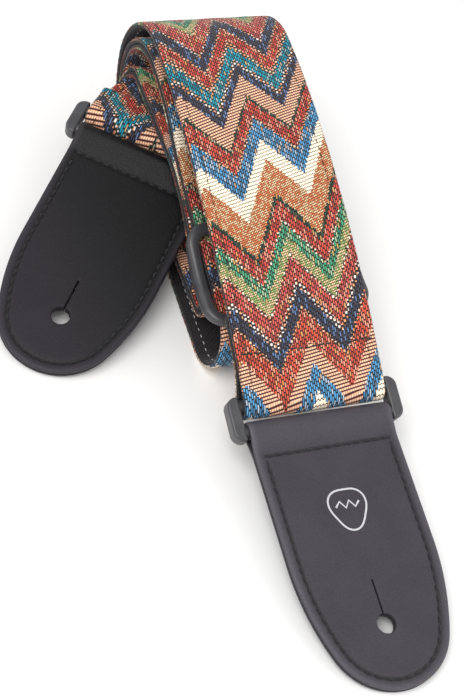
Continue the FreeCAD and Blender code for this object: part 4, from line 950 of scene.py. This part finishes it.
def build_leather(name, origin, X, Y, mat, bend):
    co, tri = SHEET
    Z = np.cross(X, Y)
    cnt = {}
    for t in tri:
        for a, b in ((t[0], t[1]), (t[1], t[2]), (t[2], t[0])):
            k = (min(a, b), max(a, b))
            cnt[k] = cnt.get(k, 0) + 1
    rim = [k for k, c in cnt.items() if c == 1 and not (co[k[0]][1] < 1e-6 and co[k[1]][1] < 1e-6)]
    verts, loc, edge, seam, faces = [], [], [], [], []

    def put(x, s, z, l, e, m):
        y = -s
        z = z + bend(x, s)
        verts.append(origin + X * x + Y * y + Z * z + MOVE)
        loc.append(l)
        edge.append(e)
        seam.append(m)
        return len(verts) - 1
    for side in (1, -1):
        outer, inner = [], []
        for x, p in co:
            s = p - OFF_P
            d = edge_distance(x, max(s, 0.0))
            dh = min(math.hypot(x, s - CY) - HOLE_R, 99.0)
            if SLIT_END - 2 < s < CY:
                dh = min(dh, abs(x) - SLIT if s > SLIT_END else math.hypot(x, s - SLIT_END) - SLIT)
            dd = max(0.0, d)
            m = abs(d - 3.3) if s > 10.8 else 9.0
            if s > 5 and abs(x) < 22.9:
                m = min(m, abs(s - 9.4))
            sink = 0.42 * math.exp(-(dd / 0.22)) + 0.20 * math.exp(-(max(0.0, dh) / 0.16)) + 0.20 * math.exp(-(m / 0.75) ** 2)
            sink += 0.03 * math.sin(x * 0.4 + s * 0.2 * side) * math.sin(s * 0.17 + 1.0)
            so, zo, ns, nz = fold_point(p, False)
            outer.append(put(x, so - ns * sink, side * (zo - nz * sink), (x, p * side, 3.0 * side), dd, m))
            si, zi, ns, nz = fold_point(p, True)
            inner.append(put(x, si, side * zi, (x, p * side, 9.0), -0.6, 9.0))
        for t in tri:
            faces.append((outer[t[0]], outer[t[1]], outer[t[2]]))
            faces.append((inner[t[2]], inner[t[1]], inner[t[0]]))
        mid = {}
        for k in rim:
            for i in k:
                if i not in mid:
                    x, p = co[i]
                    so, zo, _n, _m = fold_point(p, False)
                    si, zi, _n, _m = fold_point(p, True)
                    mid[i] = put(x, (so + si) / 2, side * (zo + zi) / 2, (x, p * side, 5.0 * side), -0.35, 9.0)
            a, b = k
            faces.append((outer[a], outer[b], mid[b], mid[a]))
            faces.append((mid[a], mid[b], inner[b], inner[a]))
    o = make(name, verts, faces, mat, {"loc": np.array(loc), "edge": np.array(edge), "seam": np.array(seam)})
    bm = bmesh.new()
    bm.from_mesh(o.data)
    bmesh.ops.remove_doubles(bm, verts=bm.verts, dist=2e-6)
    bmesh.ops.dissolve_degenerate(bm, edges=bm.edges, dist=1e-7)
    bmesh.ops.recalc_face_normals(bm, faces=bm.faces)
    bm.to_mesh(o.data)
    bm.free()
    o.data.set_sharp_from_angle(angle=math.radians(62))
    return o


def leather_stitches(prefix, origin, X, Y, bend, mat):
    Z = np.cross(X, Y)
    right, s = [], 12.6
    while s < YS:
        right.append((HW - 3.3, s))
        s += 0.25
    k = math.hypot(CX, CY - YS)
    a1 = math.atan2(RT * (CY - YS) / k + CY - YS, RT * (-CX) / k - CX)
    for i in range(160):
        a = a1 * i / 160
        right.append((CX + (RBIG - 3.3) * math.cos(a), YS + (RBIG - 3.3) * math.sin(a)))
    b0 = math.atan2(CY - YS, -CX)
    for i in range(161):
        b = b0 + (math.pi / 2 - b0) * i / 160
        right.append(((RT - 3.3) * math.cos(b), CY + (RT - 3.3) * math.sin(b)))
    path = right + [(-x, s) for x, s in right[::-1][1:]]
    seg = [math.hypot(b[0] - a[0], b[1] - a[1]) for a, b in zip(path[:-1], path[1:])]
    total = sum(seg)
    count = int(round(total / 3.45))
    edge, cross = [], []

    def add(lst, x, s, dx, ds, side, L, W, H):
        z = bend(x, s)
        d = X * dx + Y * (-ds)
        lst.append((origin + X * x + Y * (-s) + Z * (z + side * 1.62), d, Z * side, L, W, H))
    run, i, want = 0.0, 0, total / count / 2
    for (a, b), g in zip(zip(path[:-1], path[1:]), seg):
        while run + g >= want and want < total:
            t = (want - run) / g
            for side in (1, -1):
                add(edge, a[0] + (b[0] - a[0]) * t, a[1] + (b[1] - a[1]) * t, (b[0] - a[0]) / g + random.uniform(-0.04, 0.04), (b[1] - a[1]) / g + random.uniform(-0.04, 0.04), side, 2.6, 0.98, 0.46)
            want += total / count
        run += g
    for i in range(13):
        x = -22.6 + (i + 0.5) * 45.2 / 13
        for side in (1, -1):
            add(cross, x, 9.4, 1.0, random.uniform(-0.05, 0.05), side, 2.6, 0.98, 0.46)
    return (stitch_set(edge, mat, prefix + "_edge_thread"), stitch_set(cross, mat, prefix + "_cross_thread"))


def flat_end(x, s):
    return 0.0


EF_Y = unit(P(0, 0.98686, 0.16160))
EF_X = P(1, 0, 0)
EF_O = P(0.4, -4.2155, 16.6271)
EB_X = unit(P(0.777146, -0.629320, 0))
EB_Y = unit(P(0.612567, 0.756458, 0.229200))
EB_O = P(-25.9512, 110.6999, 22.8234)
leather_f = build_leather("front_leather", EF_O, EF_X, EF_Y, LEATHER_F, flat_end)
leather_b = build_leather("rear_leather", EB_O, EB_X, EB_Y, LEATHER_B_SHADED, flat_end)
fe, fc = leather_stitches("front", EF_O, EF_X, EF_Y, flat_end, THREAD_L)
be, bc = leather_stitches("rear", EB_O, EB_X, EB_Y, flat_end, THREAD_B_SHADED)


def emblem(name, origin, X, Y, s0):
    """A guitar pick in outline with a zigzag across it, printed on the face."""
    Z = np.cross(X, Y)
    pick_ = []
    for i in range(72):
        a = 2 * math.pi * i / 72
        r_ = 6.6 * (1.0 + 0.10 * math.cos(3 * (a + math.pi / 2)))
        pick_.append((r_ * math.cos(a) * 0.96, r_ * math.sin(a) * 1.06))
    zig = [(-4.2, 0.6), (-2.5, 2.4), (-0.8, 0.0), (0.8, 2.4), (2.5, 0.0), (4.2, 1.8)]
    verts, faces = [], []

    def stroke(pts, w, closed):
        n = len(pts)
        base = len(verts)
        for i, (x, y) in enumerate(pts):
            a = pts[(i - 1) % n] if closed or i else pts[0]
            b = pts[(i + 1) % n] if closed or i < n - 1 else pts[-1]
            d = math.hypot(b[0] - a[0], b[1] - a[1])
            nx, ny = -(b[1] - a[1]) / d, (b[0] - a[0]) / d
            for k, z in ((1, 1.64), (-1, 1.64), (-1, 1.735), (1, 1.735)):
                verts.append(origin + X * (x + nx * k * w / 2) + Y * (y + ny * k * w / 2 - s0) + Z * z + MOVE)
        for i in range(n if closed else n - 1):
            j = (i + 1) % n
            for k in range(4):
                k2 = (k + 1) % 4
                faces.append((base + i * 4 + k, base + i * 4 + k2, base + j * 4 + k2, base + j * 4 + k))
        if not closed:
            faces.append(tuple(base + k for k in (3, 2, 1, 0)))
            faces.append(tuple(base + (n - 1) * 4 + k for k in range(4)))
    stroke(pick_, 0.62, True)
    stroke(zig, 0.7, False)
    return make(name, verts, faces, INK, smooth=False)


mark = emblem("pick_emblem", EF_O, EF_X, EF_Y, 31.0)

# ------------------------------------------------------------------ slider: moulded frame with rounded rails and a dropped middle bar
def tube(path, closed, sides=20, power=2.7):
    """path: (x, y, z, plan half width, half height) in the slider's frame."""
    n = len(path)
    verts, faces = [], []
    for i, (x, y, z, hw_, hh) in enumerate(path):
        a = path[(i - 1) % n] if closed or i else path[0]
        b = path[(i + 1) % n] if closed or i < n - 1 else path[-1]
        t = unit(P(b[0] - a[0], b[1] - a[1], b[2] - a[2]))
        side_ = unit(np.cross(t, P(0, 0, 1))) if abs(t[2]) < 0.95 else P(0, 1, 0)
        if not closed:
            side_ = P(0, 1, 0)
        top = unit(np.cross(side_, t))
        for k in range(sides):
            th = 2 * math.pi * k / sides
            c, s_ = math.cos(th), math.sin(th)
            verts.append(P(x, y, z) + side_ * (hw_ * math.copysign(abs(c) ** (2 / power), c)) + top * (hh * math.copysign(abs(s_) ** (2 / power), s_)))
    for i in range(n if closed else n - 1):
        for k in range(sides):
            k2, j = (k + 1) % sides, (i + 1) % n
            faces.append((i * sides + k, i * sides + k2, j * sides + k2, j * sides + k))
    if not closed:
        faces += [tuple(range(sides - 1, -1, -1)), tuple(range((n - 1) * sides, n * sides))]
    return verts, faces


def slider_frame():
    cx_, cy_, r_ = 28.35, 16.75, 5.6
    plan = []
    for qx, qy, a0 in ((1, 1, 0), (-1, 1, 90), (-1, -1, 180), (1, -1, 270)):
        for k in range(13):
            a = math.radians(a0 + 90 * k / 12)
            plan.append((qx * (cx_ - r_) + r_ * math.cos(a), qy * (cy_ - r_) + r_ * math.sin(a)))
    pts = []
    for i, (x, y) in enumerate(plan):
        nx_, ny_ = plan[(i + 1) % len(plan)]
        d = math.hypot(nx_ - x, ny_ - y)
        k = max(1, int(d / 1.2))
        for j in range(k):
            pts.append((x + (nx_ - x) * j / k, y + (ny_ - y) * j / k))
    out = []
    for x, y in pts:
        rail = min(1.0, max(0.0, (abs(x) - 21.0) / 6.0))
        rail = rail * rail * (3 - 2 * rail)
        mid_ = math.cos(min(1.0, abs(y) / 16.7) * math.pi / 2) ** 1.3
        out.append((x, y, 3.75 - rail * (0.25 + 3.0 * mid_), 2.25 - 0.15 * rail, 1.48 + rail * (0.35 + 0.95 * mid_)))
    v1, f1 = tube(out, True)
    bar = [(-28.2, 0, 0.3, 2.3, 1.3), (-27.7, 0, -1.2, 2.4, 1.3), (-26.6, 0, -2.6, 2.5, 1.3), (-25.4, 0, -3.1, 2.5, 1.3)]
    bar += [(-24 + 4.0 * i, 0, -3.15, 2.5, 1.3) for i in range(13)]
    bar += [(-x, 0, z, h_, w_) for x, _y, z, h_, w_ in bar[:4][::-1]]
    v2, f2 = tube(bar, False)
    n = len(v1)
    sy, sz = lean_pt(0.0, 0.0)
    o_, yy, zz = P(3.0, sy, sz), P(0, LC, LS), P(0, -LS, LC)
    world_ = [o_ + P(1, 0, 0) * v[0] + yy * v[1] + zz * v[2] + MOVE for v in v1 + v2]
    return make("slider_frame", world_, f1 + [tuple(i + n for i in f) for f in f2], PLASTIC)


slider_piece = slider_frame()

# ------------------------------------------------------------------ pieces carried over from the CAD
for n_, w_ in (("front_ring", 0.5), ("rear_ring", 0.5)):
    o = bpy.data.objects[n_]
    wd = o.modifiers.new("one_skin", "WELD")
    wd.merge_threshold = 0.000002
    bv = o.modifiers.new("rounded_edges", "BEVEL")
    bv.width, bv.segments, bv.limit_method, bv.angle_limit = w_ * 0.001, 3, "ANGLE", math.radians(40)
    bv.harden_normals = False
    o.data.materials.clear()
    o.data.materials.append(PLASTIC)
for n_ in ("front_end_board", "rear_end_board"):
    o = bpy.data.objects[n_]
    wd = o.modifiers.new("one_skin", "WELD")
    wd.merge_threshold = 0.000002
    o.data.materials.clear()
    o.data.materials.append(BOARD)

# ------------------------------------------------------------------ riding, replacing
for o in (strap_web, strap_ribbon, seam_left, seam_right, bobbin, anchor):
    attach(o, "strap")


for o in (tail_web, tail_ribbon, tail_stitches):
    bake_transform(o)
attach(slider_stitches, "slider")
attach(slider_piece, "slider")
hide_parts("slider")
for o in (leather_f, fe, fc, mark):
    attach(o, "front_end")
for o in (leather_b, be, bc):
    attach(o, "rear_end")
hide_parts("strap_webbing")
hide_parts("pattern_ribbon")
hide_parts("edge_seam_left")
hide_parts("edge_seam_right")
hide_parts("anchor_seam_stitching")
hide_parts("slider_loop_webbing")
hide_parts("slider_seam_stitching")
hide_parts("front_end_leather")
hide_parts("rear_end_leather")
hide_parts("front_edge_stitching")
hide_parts("front_cross_stitching")
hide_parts("rear_edge_stitching")
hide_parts("rear_cross_stitching")

# ------------------------------------------------------------------ floor, light, camera
fm = Mat("pale_floor")
fn = fm.noise(fm.object_mm(), 0.02, 2.0)
fm.set(Base_Color=fm.mix(fn, (0.955, 0.955, 0.955, 1), (0.97, 0.97, 0.97, 1)), Roughness=0.9, Specular_IOR_Level=0.1)
floor_me = bpy.data.meshes.new("floor")
floor_me.from_pydata([(-6, -6, 0), (6, -6, 0), (6, 6, 0), (-6, 6, 0)], [], [(0, 1, 2, 3)])
floor_me.materials.append(fm.m)
floor = bpy.data.objects.new("floor", floor_me)
bpy.context.scene.collection.objects.link(floor)

world = bpy.data.worlds.new("studio")
world.use_nodes = True
bg = world.node_tree.nodes.get("Background") or world.node_tree.nodes.new("ShaderNodeBackground")
bg.inputs[0].default_value = (1.0, 1.0, 1.0, 1.0)
bg.inputs[1].default_value = 0.74
bpy.context.scene.world = world


def area(name, loc_, target, size, power):
    li = bpy.data.lights.new(name, "AREA")
    li.shape, li.size, li.size_y, li.energy = "RECTANGLE", size[0], size[1], power
    li.color = (1.0, 0.99, 0.975)
    o = bpy.data.objects.new(name, li)
    o.location = loc_
    o.rotation_euler = (Vector(target) - Vector(loc_)).to_track_quat("-Z", "Y").to_euler()
    bpy.context.scene.collection.objects.link(o)
    return o


area("key", (-0.50, -0.20, 0.95), (0, 0, 0.02), (0.7, 0.7), 7.0)
area("fill", (0.75, -0.55, 0.70), (0, 0, 0.02), (0.6, 0.6), 2.5)

e_, a_, roll = math.radians(49.876), math.radians(-35.074), math.radians(20.747)
b_v = Vector((math.sin(a_) * math.cos(e_), -math.cos(a_) * math.cos(e_), math.sin(e_)))
r_v = Vector((math.cos(a_), math.sin(a_), 0))
u_v = b_v.cross(r_v)
x_v = r_v * math.cos(roll) + u_v * math.sin(roll)
y_v = u_v * math.cos(roll) - r_v * math.sin(roll)
cam = bpy.data.cameras.new("photo_camera")
cam.lens, cam.sensor_width, cam.clip_start, cam.clip_end = 85.1, 36.0, 0.01, 20.0
co_ = bpy.data.objects.new("photo_camera", cam)
m4 = Matrix((x_v, y_v, b_v)).transposed().to_4x4()
m4.translation = Vector((-0.193585, -0.293303, 0.436082))
co_.matrix_world = m4
bpy.context.scene.collection.objects.link(co_)
bpy.context.scene.camera = co_
bpy.context.scene.view_settings.view_transform = "Standard"
